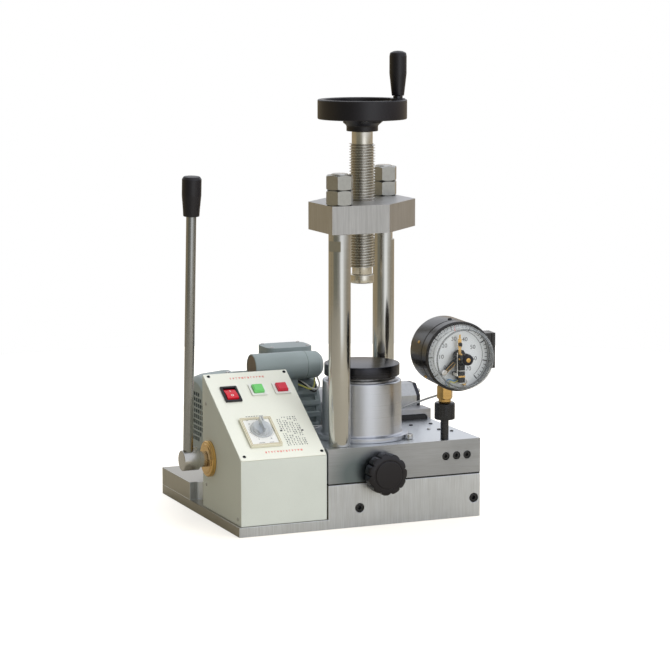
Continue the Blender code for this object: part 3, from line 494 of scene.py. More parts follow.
LOOK = {
    "base steel": metal("base_steel", "machined_steel", (0.79, 0.83, 0.89), 0.38, "z", 0.09, (420, 1500), 0.2,
                        0.08, 0.5),
    "block steel": metal("block_steel", "ground_aluminium", (0.5, 0.525, 0.575), 0.32, "x", 0.09, (300, 1300),
                         0.15, 0.1, 0.5),
    "head steel": metal("head_steel", "ground_aluminium", (0.52, 0.52, 0.525), 0.36, "z", 0.13, (420, 1600),
                        0.18, 0.05, 0.5),
    "nut steel": metal(
        "nut_steel", "machined_steel", (0.5, 0.5, 0.48), 0.32, "none", 0.08, (300, 1400), 0.12
    ),
    "rear steel": metal(
        "rear_steel", "machined_steel", (0.45, 0.45, 0.465), 0.45, "x", 0.14, (300, 1200), 0.2
    ),
    "turned steel": metal("turned_steel", "machined_steel", (0.56, 0.55, 0.53), 0.24, "turned", 0.04,
                          (700, 2600), 0.03, 0.03),
    "inner steel": metal("inner_steel", "machined_steel", (0.5, 0.5, 0.5), 0.38, "none", 0.1),
    "cylinder": metal("satin_cylinder", "ground_aluminium", (0.63, 0.65, 0.7), 0.3, "turned", 0.03,
                      (900, 2800), 0.04, 0.03),
    "chrome": metal(
        "ground_chrome", "chrome", (0.6, 0.595, 0.57), 0.17, "turned", 0.03, (300, 1800), 0.015, 0.03
    ),
    "lever chrome": metal(
        "lever_chrome", "chrome", (0.39, 0.397, 0.395), 0.25, "z", 0.08, (300, 1400), 0.04, 0.06
    ),
    "thread": metal("thread_steel", "thread_steel", (0.74, 0.71, 0.64), 0.2, "turned", 0.04, (300, 1500),
                    0.02, 0.05),
    "rolled thread": metal("rolled_thread", "thread_steel", (0.82, 0.81, 0.78), 0.2, "turned", 0.04),
    "pump": metal("pump_casting", "ground_aluminium", (0.55, 0.56, 0.57), 0.4, "none", 0.1, (200, 900),
                  0.25, 0.12, 0.8),
    "brass": metal("brass", "brass", (0.74, 0.48, 0.18), 0.2, "turned", 0.2, (400, 1600), 0.03, 0.08),
    "bare screw": metal("bare_screw", "machined_steel", (0.7, 0.7, 0.7), 0.25, "turned", 0.1),
    "black steel": metal("black_steel", "black_steel", (0.056, 0.057, 0.068), 0.28, "turned", 0.2,
                         (300, 1300), 0.1, 0.03),
    "black oxide": metal("black_oxide", "black_steel", (0.065, 0.067, 0.074), 0.26, "none", 0.2),
    "black plastic": paint("black_plastic", "black_plastic", (0.006, 0.005, 0.008), 0.38, 500, 0.2, 0.1),
    "wheel black": paint("wheel_black", "black_plastic", (0.005, 0.004, 0.007), 0.34, 300, 0.15, 0.1),
    "dull black": paint("dull_black", "black_plastic", (0.012, 0.012, 0.013), 0.6, 700, 0.3, 0.1),
    "enamel": paint("case_enamel", "black_enamel", (0.014, 0.013, 0.014), 0.2, 260, 0.12, 0.1),
    "box paint": paint("box_paint", "cream_paint", (0.62, 0.655, 0.605), 0.46, 520, 0.3, 0.025),
    "panel": paint("panel_print", "cream_paint", (0.78, 0.79, 0.7), 0.42, 700, 0.12, 0.02),
    "timer cream": paint("timer_cream", "cream_paint", (0.74, 0.72, 0.58), 0.4, 600, 0.15, 0.03),
    "motor paint": paint("motor_paint", "motor_paint", (0.29, 0.345, 0.35), 0.4, 420, 0.35, 0.06),
    "cast paint": paint("cast_paint", "cast_paint", (0.29, 0.34, 0.35), 0.48, 300, 0.7, 0.1),
    "dial": paint("dial_face", "dial_white", (0.72, 0.75, 0.77), 0.4, 800, 0.05, 0.02),
    "white plastic": paint("white_plastic", "white_plastic", (0.78, 0.78, 0.75), 0.36, 700, 0.15, 0.02),
    "red plastic": paint("red_plastic", "red_plastic", (0.62, 0.004, 0.02), 0.22, 500, 0.1, 0.08),
    "red cap": paint("red_cap", "red_plastic", (0.66, 0.02, 0.05), 0.3, 500, 0.1, 0.06),
    "green cap": paint("green_cap", "green_plastic", (0.16, 0.62, 0.16), 0.3, 500, 0.1, 0.06),
    "cable": paint("cable_grey", "grey_cable", (0.7, 0.71, 0.71), 0.42, 600, 0.2, 0.05),
    "rubber": paint("seal_rubber", "seal_rubber", (0.02, 0.02, 0.02), 0.65, 600, 0.3, 0.1),
    "ink": paint("black_ink", "black_plastic", (0.03, 0.03, 0.035), 0.5, 900, 0.1, 0.1),
    "red ink": paint("red_ink", "red_plastic", (0.72, 0.16, 0.12), 0.5, 900, 0.1, 0.1),
    "gold ink": paint("gold_ink", "brass", (0.36, 0.27, 0.12), 0.45, 900, 0.1, 0.08),
    "dial core": paint("dial_core", "clear_plastic", (0.3, 0.34, 0.4), 0.15, 500, 0.1, 0.1),
    "phenolic": paint("phenolic_disc", "black_plastic", (0.2, 0.14, 0.09), 0.5, 500, 0.2, 0.15),
    "blue wire": paint("blue_wire", "grey_cable", (0.12, 0.3, 0.55), 0.4, 900, 0.1, 0.08),
    "yellow wire": paint("yellow_wire", "grey_cable", (0.62, 0.62, 0.16), 0.42, 900, 0.1, 0.08),
    "dark wire": paint("dark_wire", "grey_cable", (0.03, 0.03, 0.03), 0.42, 900, 0.1, 0.08),
    "white wire": paint("white_wire", "grey_cable", (0.75, 0.75, 0.73), 0.42, 900, 0.1, 0.05),
    "window": clear("gauge_window_clear", "clear_window", (0.5, 0.53, 0.55), 0.06, 0.03, 0.62),
    # A dark tint for the ring at the dome's shoulder: a painted reflection.
    "painted dome edge": clear("dome_edge_painted_reflection", "clear_window", (0.16, 0.17, 0.18), 0.1, 0.45, 0.75),
    "dial clear": clear("timer_dial_clear", "clear_plastic", (0.66, 0.7, 0.73), 0.08, 0.34, 0.9),
}


def darken_near(look, centre, low, high, dark):
    """Darkens a finish near a point of its object: a painted reflection, as where ground metal mirrors a dark
    neighbour.
    """
    tree = look.node_tree
    colour = tree.nodes["Principled BSDF"].inputs["Base Color"]
    place = shade(tree, "TexCoord").outputs["Object"]
    away = shade(
        tree, "VectorMath", {0: place, 1: Vector(centre) * MM}, operation="DISTANCE"
    ).outputs["Value"]
    share = spread(tree, away, 0, 1, low * MM, high * MM)
    mixed = blend(tree, share, dark, colour.links[0].from_socket)
    tree.links.new(mixed, colour)


def face_tint(look, side, colour):
    """Gives the faces that look one way their own tone: painted light and shade, by which way a face looks.
    """
    tree = look.node_tree
    base = tree.nodes["Principled BSDF"].inputs["Base Color"]
    normal = shade(tree, "TexCoord").outputs["Normal"]
    facing = shade(tree, "VectorMath", {0: normal, 1: side}, operation="DOT_PRODUCT").outputs["Value"]
    share = spread(tree, facing, 0, 1, 0.8, 0.95)
    tree.links.new(blend(tree, share, base.links[0].from_socket, colour), base)


def darken_roots(look, low, high, dark):
    """Darkens turned work below a radius: painted shade at the bottom of a thread."""
    tree = look.node_tree
    colour = tree.nodes["Principled BSDF"].inputs["Base Color"]
    radius = shade(tree, "SeparateXYZ", {0: grain_vector(tree, "turned")}).outputs[0]
    share = spread(tree, radius, 0, 1, low * MM, high * MM)
    tree.links.new(blend(tree, share, dark, colour.links[0].from_socket), colour)


# Painted reflection: a dark patch on the block's front, left of the release knob, where it mirrors the knob.
darken_near(LOOK["block steel"], (-47, -85, 78), 16, 50, (0.2, 0.245, 0.27))
# Painted shade in the roots of the lead screw's thread.
darken_roots(LOOK["rolled thread"], 16.4, 17.4, (0.42, 0.4, 0.36))
# Painted light: the block's top made lighter, as it mirrors the bright backdrop above.
face_tint(LOOK["block steel"], (0, 0, 1), (0.74, 0.77, 0.8))
# Painted shade: the base's top and left side made darker and warmer than its front.
face_tint(LOOK["base steel"], (0, 0, 1), (0.5, 0.48, 0.43))
face_tint(LOOK["base steel"], (-1, 0, 0), (0.47, 0.45, 0.39))


# ---------------------------------------------------------------- base, block and columns

LEDGE_TOP, DECK_TOP, RISER_TOP = 14.4, 41, 64
LEDGE_WIDTH, POCKET_BACK, POCKET_RADIUS = 20, 123, 18
BASE_SCREWS, BASE_SCREW_Z = (-40, 143), 28
PLUGS, PLUG_Z = (97.3, 114.5, 131.6), 93.5
COLUMN_OFFSET, COLUMN_RADIUS, STUD_RADIUS = 62, 16, 12
SOCKET_SIDES = 6


def socket_screw(radius, height, socket, edge=0.5):
    """A socket head: its seat at height 0, with a hexagonal socket in its top."""
    head = bar(radius, 0, height, 48, edge)
    hexagon = circle(socket / math.cos(math.pi / 6), SOCKET_SIDES)
    return cut(head, (prism([hexagon], height * 0.45, height + 1), UPRIGHT))


def slotted_screw(outline, slot_half, slot_floor):
    """A domed head, turned from its outline, with a driver slot cut across it."""
    slot = brick((-slot_half, -4, slot_floor), (slot_half, 4, 3))
    return cut(lathe(outline, 32), (slot, UPRIGHT))


def make_base():
    low, high = BASE_LOW, BASE_HIGH
    slab = brick(low, (high.x, high.y, LEDGE_TOP))
    step_x, step_y = low.x + LEDGE_WIDTH, low.y + LEDGE_WIDTH
    outline = [(high.x, high.y), (low.x, high.y), (low.x, POCKET_BACK), (step_x, POCKET_BACK, POCKET_RADIUS)]
    outline += [(step_x, step_y, 2), (BLOCK_LOW.x, step_y, 2), (BLOCK_LOW.x, low.y), (high.x, low.y)]
    deck = prism([rounded(outline, steps=10)], LEDGE_TOP / 2, DECK_TOP)
    riser = brick((BLOCK_LOW.x, low.y, LEDGE_TOP / 2), (high.x, BLOCK_HIGH.y, RISER_TOP))
    base = joined(slab, (deck, UPRIGHT), (riser, UPRIGHT))
    holes = [(bar(7, -9.5, 2, 48), at(x, low.y, BASE_SCREW_Z, FRONT)) for x in BASE_SCREWS]
    add("base_plate_body", cut(base, *holes), "base steel", stands_for=["base_plate"], edge=0.6)
    for number, x in enumerate(BASE_SCREWS):
        place = at(x, low.y, BASE_SCREW_Z, FRONT)
        add(f"base_screw_{number}", socket_screw(6.2, 7.6, 3), "black oxide", place @ at(0, 0, -9))


def make_block():
    """The hydraulic block, a dark strip in the seam at its foot that paints the shade there, its port plugs,
    and the screws in its top.
    """
    low, high = BLOCK_LOW, BLOCK_HIGH
    holes = [(bar(6.2, -8.5, 2, 48), at(x, low.y, PLUG_Z, FRONT)) for x in PLUGS]
    holes.append((bar(6.6, -41, 2, 48), at(VALVE_X, low.y, VALVE_Z, FRONT)))
    for side in (-1, 1):
        place = at(side * COLUMN_OFFSET, side * COLUMN_OFFSET, high.z)
        holes.append((bar(STUD_RADIUS + 0.6, -31, 2, 48), place))
    holes.append((bar(6.3, -12.5, 2, 48), at(GAUGE_X, GAUGE_Y, high.z)))

    def border(outer, inner):
        """The block's outline moved in by two insets, one outside the other."""
        return [rectangle(low.x + i, low.y + i, high.x - i, high.y - i) for i in (outer, inner)]

    groove = prism(border(-5, 3), low.z - 1, low.z + 2.1)
    block = cut(brick(low, high), *holes, (groove, UPRIGHT))
    # A dark strip in the groove at the block's foot: painted shade in the seam.
    seam_shade = prism(border(0.4, 2.9), low.z + 0.05, low.z + 2)
    add("block_foot_seam_shade", seam_shade, "rubber")
    add("hydraulic_block_body", block, "block steel", stands_for=["hydraulic_block"], edge=0.5)
    for number, x in enumerate(PLUGS):
        place = at(x, low.y, PLUG_Z, FRONT)
        add(f"port_plug_{number}", socket_screw(5.9, 6.6, 2.6, 0.9), "black oxide", place @ at(0, 0, -7.8))
    dowels = (100.9, 45.8, 3), (134, 46.6, 3), (125.5, -1.7, 3.4), (137.6, -19.6, 2.6)
    for number, (x, y, radius) in enumerate(dowels):
        dowel = socket_screw(radius, 1.2, radius * 0.45, 0.2)
        add(f"block_dowel_{number}", dowel, "black oxide", at(x, y, high.z))
    add("block_relief_screw", socket_screw(3, 1.6, 1.3, 0.3), "bare screw", at(112, 6, high.z))


def make_columns():
    """Ground columns with spanner flats near the top, and the studs through the crosshead."""
    flats_across, flat_low, flat_high = 25.4, 400, 415
    for side, name, turn in ((-1, "front", 215), (1, "rear", -29)):
        low, high = corners(f"column_{name}")
        shoulder, foot = HEAD_LOW.z - GAP, BLOCK_HIGH.z + GAP
        profile = [
            (0, high.z), (STUD_RADIUS, high.z, 1.5), (STUD_RADIUS, shoulder),
            (COLUMN_RADIUS, shoulder, 1),
        ]
        profile += [(COLUMN_RADIUS, foot, 0.4), (STUD_RADIUS, foot), (STUD_RADIUS, low.z), (0, low.z)]
        column = lathe(profile, 128, 3)
        place = at(side * COLUMN_OFFSET, side * COLUMN_OFFSET, 0)
        flats = []
        for half_turn in (0, 180):
            flat = brick((flats_across / 2, -20, flat_low), (flats_across / 2 + 20, 20, flat_high))
            flats.append((flat, spin(turn + half_turn)))
        add(f"column_{name}_body", cut(column, *flats), "chrome", place, stands_for=[f"column_{name}"])
        make_nuts(name, place)


def hexagon_nut(flats, height, hole):
    """A hexagon nut with turned chamfers on both faces."""
    corner = flats / 2 / math.cos(math.pi / 6)
    nut = prism([circle(corner, 6), circle(hole, 64)], 0, height)
    face, drop = flats / 2 - 0.4, 1.9
    barrel = [(0, height), (face, height), (corner + 0.4, height - drop)]
    barrel += [(corner + 0.4, drop), (face, 0), (0, 0)]
    return combined(nut, ("INTERSECT", turned(barrel, 96), UPRIGHT))


def make_nuts(name, place):
    """A nut with its locknut above it."""
    flats = 36
    low, high = corners(f"column_nuts_{name}")
    height = (high.z - low.z) / 2 - 0.3
    for number, bottom in enumerate((low.z, high.z - height)):
        nut = hexagon_nut(flats, height, STUD_RADIUS + GAP)
        stands_for = [f"column_nuts_{name}"] if number == 0 else ()
        seat = place @ at(0, 0, bottom)
        title = f"column_nut_{name}_{number}"
        add(title, nut, "nut steel", seat, stands_for=stands_for, edge=0.3, segments=2)


def make_crosshead():
    half, corner = HEAD_HIGH.x, 7.4
    outline = [
        (-half, -half), (corner, -half), (half, -corner), (half, half), (-corner, half), (-half, corner)
    ]
    holes = [circle(19.45)]
    holes += [circle(STUD_RADIUS + GAP, 64, side * COLUMN_OFFSET, side * COLUMN_OFFSET) for side in (-1, 1)]
    head = prism([outline, *holes], HEAD_LOW.z, HEAD_HIGH.z)
    add("crosshead_body", head, "head steel", stands_for=["crosshead"], edge=0.5)


# ---------------------------------------------------------------- cylinder, ram and screw

def make_cylinder():
    low, high = corners("cylinder")
    bore, flange, flange_top = 40.6, 69, 124
    foot, lip = 59, 58
    profile = [(0, 135), (bore, 135), (bore, high.z, 0.8), (lip, high.z, 2.2), (foot, flange_top, 3)]
    profile += [(flange, flange_top, 1.2), (flange, low.z, 0.5), (0, low.z)]
    shell = lathe(profile, 160, 5)
    add("cylinder_body", shell, "cylinder", stands_for=["cylinder"])
    ring = rounded(
        [(50, high.z + 2.6, 0.8), (50, high.z + 0.1), (40.4, high.z + 0.1), (40.4, high.z + 2.6, 0.6)]
    )
    add("wiper_ring", turned(ring, 128, ring=True), "head steel")
    for number, side in enumerate((1, -1)):
        place = at(side * 53, side * -53, BLOCK_HIGH.z + GAP)
        add(f"flange_screw_{number}", socket_screw(5.6, 7.4, 2.6, 0.7), "bare screw", place)


def make_ram():
    platen_low, platen_high = corners("platen")
    radius = platen_high.x
    spigot, spigot_top = 12.3, platen_low.z + 5
    profile = [(0, platen_high.z), (radius, platen_high.z, 1.1), (radius, platen_low.z, 0.8)]
    profile += [(spigot, platen_low.z), (spigot, spigot_top), (0, spigot_top)]
    plate = lathe(profile, 160, 4)
    add("platen_body", plate, "black steel", body="ram", stands_for=["platen"])
    dress("piston", "head steel")
    dress("piston_seal", "rubber")


def threaded(crest, root, pitch, low, high):
    """A helical thread between two heights, with flat ends."""
    sides = 72
    form = [(0.0, root), (0.12, root), (0.44, crest), (0.56, crest), (0.88, root)]
    turns = math.ceil((high - low) / pitch) + 3

    def radius_at(phase):
        for (start, first), (end, second) in zip(form, [*form[1:], (1.0, root)]):
            if phase <= end:
                return first + (second - first) * (phase - start) / (end - start)
        return root

    work = bmesh.new()
    columns = []
    for side in range(sides):
        angle, offset = 2 * math.pi * side / sides, pitch * side / sides
        start = low - 2 * pitch + offset
        column = []
        for turn in range(turns):
            for share, radius in form:
                height = start + (turn + share) * pitch
                if not low <= height <= high:
                    height = min(max(height, low), high)
                    radius = radius_at((height - start) / pitch % 1)
                point = (radius * math.cos(angle), radius * math.sin(angle), height)
                column.append(work.verts.new(Vector(point) * MM))
        columns.append(column)
    points = len(form)
    for side, column in enumerate(columns):
        beside = columns[side + 1] if side + 1 < sides else columns[0][points:]
        for row in range(min(len(column), len(beside)) - 1):
            work.faces.new((column[row], beside[row], beside[row + 1], column[row + 1]))
    bmesh.ops.remove_doubles(work, verts=work.verts, dist=WELD)
    bmesh.ops.dissolve_degenerate(work, edges=work.edges, dist=WELD)
    bmesh.ops.holes_fill(work, edges=work.edges, sides=0)
    return finish_mesh(work, "thread", 25)


def make_screw():
    """The lead screw: a rolled thread with a plain neck at each end, and the pad on its tip."""
    low, high = corners("lead_screw")
    crest, root, pitch = 19, 16.3, 4
    thread_low, thread_high = 368, 548
    pad_low, pad_high = corners("pressure_pad")
    upper, lower, stub = 15.3, 14.5, 10
    hub = corners("handwheel")[0].z - GAP
    profile = [(0, high.z), (stub, high.z, 1), (stub, hub), (upper, hub, 0.5), (upper, thread_high - 6)]
    profile += [(root - 0.4, thread_high - 6), (root - 0.4, thread_low + 6), (lower, thread_low + 6)]
    profile += [(lower, pad_high.z + GAP, 0.5), (6, pad_high.z + GAP), (6, low.z), (0, low.z)]
    core = lathe(profile, 72, 3)
    thread = threaded(crest, root, pitch, thread_low, thread_high)
    add("lead_screw_core", core, "thread", body="screw")
    add("lead_screw_thread", thread, "rolled thread", body="screw", stands_for=["lead_screw"])
    radius = pad_high.x
    profile = [(0, pad_low.z + 5), (6.3, pad_low.z + 5), (6.3, pad_high.z), (radius, pad_high.z, 0.8)]
    profile += [(radius, pad_low.z, 1.6), (0, pad_low.z)]
    pad = lathe(profile, 96, 3)
    add("pressure_pad_body", pad, "thread", body="pad", stands_for=["pressure_pad"])


def make_handwheel():
    """A moulded wheel: rim, dished web with three openings, hub, crank boss and a cap nut."""
    low, _ = corners("handwheel")
    rim, inner = 65, 56
    rim_low = 583.5
    web = rim_low + 7
    rim_top = 612
    profile = [(rim, rim_top, 1.8), (rim, rim_low, 1.8), (34, rim_low, 6), (23, 574, 4), (23, low.z, 1)]
    profile += [
        (10.3, low.z), (10.3, 596), (22, 596, 2.5), (27, web, 6), (inner, web, 4), (inner, rim_top, 2.2)
    ]
    wheel = lathe(profile, 144, 6, ring=True)
    crank_low, crank_high = corners("crank_pin")
    crank = (crank_low + crank_high) / 2
    crank_angle = math.degrees(math.atan2(crank.y, crank.x))
    openings = []
    for number in range(3):
        middle = crank_angle + (number + 0.5) * 120
        outline = sector(28, 52, middle - 37, middle + 37)
        openings.append((prism([outline], 560, 620), UPRIGHT))
    boss = lathe([(0, 613.5), (11, 613.5, 1.5), (11, rim_low + 2), (0, rim_low + 2)], 64)
    hole = bar(4.3, rim_low + 8, 620, 48)
    place = at(crank.x, crank.y, 0)
    wheel = combined(cut(wheel, *openings), ("UNION", boss, place), ("DIFFERENCE", hole, place))
    add("handwheel_body", wheel, "wheel black", body="screw", stands_for=["handwheel"], edge=0.9)
    washer = lathe([(17, 598.2, 0.5), (17, 596.2), (10.4, 596.2), (10.4, 598.2, 0.4)], 64, ring=True)
    nut = joined(washer, (hexagon_nut(24, 9, 9.6), at(0, 0, 597.6)))
    add("wheel_nut", nut, "turned steel", body="screw", edge=0.25, segments=2)
    dress("crank_pin", "black oxide")
    grip_low, grip_high = corners("crank_grip")
    top, bottom = grip_high.z, grip_low.z
    grip = grip_profile(top, top - 33, bottom, 12.5, 8.9, 4.3, top - 14)
    add("crank_grip_body", grip, "wheel black", place, "grip", stands_for=["crank_grip"])


def sector(inner, outer, start, end):
    """A rounded sector of a ring, as an outline."""
    steps = 14
    turns = [start + (end - start) * i / steps for i in range(steps + 1)]
    outline = [polar(outer, turn) for turn in turns]
    outline += [polar(inner, turn) for turn in reversed(turns)]
    return soften(outline, 2)


def soften(outline, passes):
    """Rounds an outline's corners by cutting them, a quarter of each side at a time."""
    points = [Vector(p) for p in outline]
    for _ in range(passes):
        cut_points = []
        for here, there in zip(points, points[1:] + points[:1]):
            cut_points += [here.lerp(there, 0.25), here.lerp(there, 0.75)]
        points = cut_points
    return [tuple(p) for p in points]


def grip_profile(top, shoulder, bottom, wide, narrow, bore, bore_top):
    """A moulded grip with a domed end, tapering from its shoulder down to a narrow foot."""
    profile = [(0, top), (wide * 0.5, top - 0.6, 8), (wide - 0.8, top - 3, 3), (wide, top - 8, 6)]
    profile += [(wide, shoulder, 14), (narrow + 0.6, bottom + 5, 10), (narrow, bottom, 1.2)]
    profile += [(bore, bottom), (bore, bore_top), (0, bore_top)]
    return lathe(profile, 64, 6)


# ---------------------------------------------------------------- control box

BOX_BOTTOM, SHEET, PANEL_SHEET = 14.7, 1.5, 1.2
GLAND_X, GLAND_Z = -180, 62
LEAD_HOLE_Y, LEAD_HOLE_Z = 63, 135
ROCKER_X, ROCKER_T = -193, 140
START_X, STOP_X, BUTTON_T = -149.5, -112.2, 145.8
TIMER_X, TIMER_T, TIMER_WIDE, TIMER_TALL = -175, 55, 49, 60
DIAL_X, DIAL_T = -173, 58.5
INK = 0.08


def on_panel(x, t, n=0.0):
    return PANEL @ at(x, t, n)


def box_profile(inset, floor):
    """The control box's section as (y, z), moved in by the inset on every side but the open bottom."""
    rise = inset / math.cos(PANEL_SLOPE)
    slope = math.tan(PANEL_SLOPE)
    low, high = BOX_LOW.y + inset, BOX_HIGH.y - inset
    front_top = BOX_LIP + slope * inset - rise
    back_top = BOX_LIP + slope * (high - BOX_LOW.y) - rise
    return [(low, floor), (high, floor), (high, back_top), (low, front_top)]


def panel_openings():
    """(x, t, half width, half height) of each opening in the panel."""
    square = 9.8
    return (
        (ROCKER_X, ROCKER_T, 10.8, 14),
        (START_X, BUTTON_T, square, square),
        (STOP_X, BUTTON_T, square, square),
        (TIMER_X, TIMER_T, 21.8, 21.8),
    )


def make_control_box():
    left, right = BOX_LOW.x, BOX_HIGH.x
    across = at(0, 0, 0, SIDE)
    shell = prism([box_profile(0, BOX_BOTTOM)], left, right)
    hollow = prism([box_profile(SHEET, BOX_BOTTOM - 5)], left + SHEET, right - SHEET)
    step = Vector((BASE_LOW.x + LEDGE_WIDTH - GAP, BASE_LOW.y + LEDGE_WIDTH - GAP, 0))
    to_world = across.inverted()
    steps = [(hollow, UPRIGHT)]
    steps.append((brick(step, (right + 5, BOX_HIGH.y + 5, DECK_TOP + GAP)), to_world))
    for x, t, half_x, half_t in panel_openings():
        steps.append((brick((x - half_x, t - half_t, -4), (x + half_x, t + half_t, 4)), to_world @ PANEL))
    steps.append((bar(12.3, left - 3, left + 5), to_world @ LEVER_AXIS))
    steps.append((bar(2.2, right - 4, right + 3, 32), to_world @ at(0, LEAD_HOLE_Y, LEAD_HOLE_Z, SIDE)))
    steps.append((bar(8.3, -BOX_HIGH.y - 3, -BOX_HIGH.y + 5), to_world @ at(GLAND_X, 0, GLAND_Z, FRONT)))
    add("control_box_cover", cut(shell, *steps), "box paint", across, stands_for=["control_box"], edge=0.9)
    openings = [rectangle(x - a, t - b, x + a, t + b, 0.6) for x, t, a, b in panel_openings()]
    outline = rectangle(left + 0.5, 0.5, right - 0.5, PANEL_LENGTH - 0.5, 1.5)
    plate = prism([outline, *openings], GAP, GAP + PANEL_SHEET)
    add("control_panel_plate", plate, "panel", PANEL, stands_for=["control_panel"], edge=0.3, segments=2)
    make_panel_screws()
    make_panel_print()
    make_mains_gland()


def make_panel_screws():
    """Cross-headed screws at the panel's corners, and plain screws in the box's side."""
    head = lathe([(0, 1.6), (1.6, 1.45, 2), (2.6, 0.3, 0.4), (2.6, 0), (0, 0)], 48)
    slot = [(brick((-1.5, -0.28, 0.8), (1.5, 0.28, 3)), spin(turn)) for turn in (20, 110)]
    head = cut(head, *slot)
    for number, (x, t) in enumerate(((-214.7, 182), (-95.7, 182), (-214.6, 9), (-95.8, 9))):
        add(f"panel_screw_{number}", head.copy(), "black oxide", on_panel(x, t, SKIN - GAP))
    slot_free = lathe([(0, 1.2), (2.2, 1.1, 1), (2.8, 0.1, 0.3), (2.8, 0), (0, 0)], 32)
    for number, (y, z) in enumerate(((-70, 24), (60, 50), (60, 170))):
        place = at(BOX_LOW.x, y, z, Matrix.Rotation(-math.pi / 2, 4, "Y"))
        add(f"cover_screw_{number}", slot_free.copy(), "nut steel", place)


def bars(cells):
    """Thin printed bars, from (left, low, right, high) cells."""
    ink = SKIN - GAP + INK
    return merged(*[(brick((a, b, SKIN - GAP - 0.05), (c, d, ink)), UPRIGHT) for a, b, c, d in cells])


def block_row(left, right, t, size, seed):
    """A row of generic marks, each two or three strokes, that stands for a line of print."""
    cells = []
    count = int((right - left) / (size * 1.25))
    step, stroke = (right - left) / max(1, count), size * 0.2
    for number in range(count):
        x, kind = left + number * step, (number * 5 + seed * 3) % 7
        middle = x + size * (0.2 + 0.1 * (kind % 3))
        cells.append((middle, t - size / 2, middle + stroke, t + size / 2))
        for level in range(1 + kind % 3):
            rise = t + size * (0.32 - 0.36 * level)
            cells.append((x, rise, x + size * (0.95 - 0.2 * (kind % 2)), rise + stroke))
    return cells


def make_panel_print():
    """Generic print: rows of marks at the head and foot, and a table of short rows."""
    red = block_row(-184, -129, 174.5, 3.6, 1) + block_row(-181, -122.5, 14.5, 3.6, 4)
    add("panel_rules", bars(red), "red ink", PANEL)
    left, right, low, high, rows = -142, -110, 26, 86, 16
    lines = []
    columns = ((left, 7.5), (left + 8.5, 7.5), (left + 17, 7.5), (left + 25.5, 6.5))
    for row in range(rows):
        t = high - 2 - row * (high - low - 2) / (rows - 1)
        for number, (x, width) in enumerate(columns):
            if (row * 3 + number * 5) % 8:
                shift = 0.4 * math.sin(row * 2.1 + number)
                lines += block_row(x + shift, x + shift + width, t, 2.4, row * 4 + number)
    for x, t in ((left - 0.5, 57), (right, 55)):
        lines.append((x - 1.5, t - 1.5, x + 1.5, t + 1.5))
    heading = -186
    for number in range(7):
        lines.append((heading + number * 4, 90.5, heading + number * 4 + 2.6, 91.6))
    add("panel_table", bars(lines), "ink", PANEL)


def make_mains_gland():
    """A cable gland with a round nut and a domed cap. Nothing is fed through it here."""
    back = -BOX_HIGH.y
    bore, stem = 5.2, 8
    profile = [
        (bore, back + 12), (stem, back + 12), (stem, back - GAP), (11, back - GAP, 0.6),
        (11, back - 5, 0.6),
    ]
    profile += [(9.2, back - 6), (9.2, back - 9), (7.4, back - 14, 2), (bore, back - 14)]
    body = lathe(profile, 64, ring=True)
    add("mains_gland_body", body, "dull black", at(GLAND_X, 0, GLAND_Z, FRONT), stands_for=["mains_gland"])


def make_power_switch():
    """A rocker switch in a bevelled bezel, with raised on and off marks."""
    place = on_panel(ROCKER_X, ROCKER_T)
    body = brick((-10.4, -13.6, -24), (10.4, 13.6, SKIN + 1))
    bezel = prism([rectangle(-13, -16.5, 13, 16.5, 1.5)], SKIN, SKIN + 2.2)
    pit = prism([rectangle(-9.5, -12.7, 9.5, 12.7, 0.5)], -9, SKIN + 5)
    housing = combined(body, ("UNION", bezel, UPRIGHT), ("DIFFERENCE", pit, UPRIGHT))
    add("power_switch_housing", housing, "black plastic", place, stands_for=["power_switch_body"], edge=0.5)
    profile = [
        (-12, -4.5), (-10.8, 2.6, 1.2), (0, 3.9, 60), (10.8, 2.6, 1.2), (12, -4.5), (3, -5.5), (-3, -5.5)
    ]
    rocker = prism([rounded(profile, steps=8)], -8.8, 8.8)
    turn = Matrix.Rotation(math.radians(-9), 4, "X")
    rest = place @ at(0, 0, SKIN - 0.6) @ turn
    add("rocker_key", rocker, "red plastic", rest @ SIDE, "rocker", stands_for=["power_rocker"], edge=0.5)
    tilt = math.atan2(1.3, 10.8)
    on_mark = brick((-0.45, -2, -0.3), (0.45, 2, 0.12))
    off_mark = turned([(2.1, 0.12), (2.1, -0.3), (1.35, -0.3), (1.35, 0.12)], 48, ring=True)
    upper = rest @ at(0, 5.6, 3.24, Matrix.Rotation(-tilt, 4, "X"))
    lower = rest @ at(0, -5.6, 3.24, Matrix.Rotation(tilt, 4, "X"))
    add("rocker_on_mark", on_mark, "white plastic", upper, "rocker")
    add("rocker_off_mark", off_mark, "white plastic", lower, "rocker")


def make_buttons():
    for name, x, look in (("start", START_X, "green cap"), ("stop", STOP_X, "red cap")):
        place = on_panel(x, BUTTON_T)
        body = brick((-9.4, -9.4, -20), (9.4, 9.4, SKIN + 1))
        bezel = prism([rectangle(-12, -12, 12, 12, 1.2)], SKIN, SKIN + 2)
        pit = prism([rectangle(-8.3, -8.3, 8.3, 8.3, 0.6)], -8, SKIN + 5)
        housing = combined(body, ("UNION", bezel, UPRIGHT), ("DIFFERENCE", pit, UPRIGHT))
        node = f"{name}_button_housing"
        add(f"{name}_housing", housing, "white plastic", place, stands_for=[node], edge=0.4)
        cap = joined(
            prism([rectangle(-8, -8, 8, 8, 0.8)], -4, SKIN + 5.2),
            (prism([rectangle(-6.6, -6.6, 6.6, 6.6, 1)], SKIN + 4, SKIN + 6), UPRIGHT),
        )
        add(f"{name}_cap", cap, look, place, name, stands_for=[f"{name}_button"], edge=0.5)


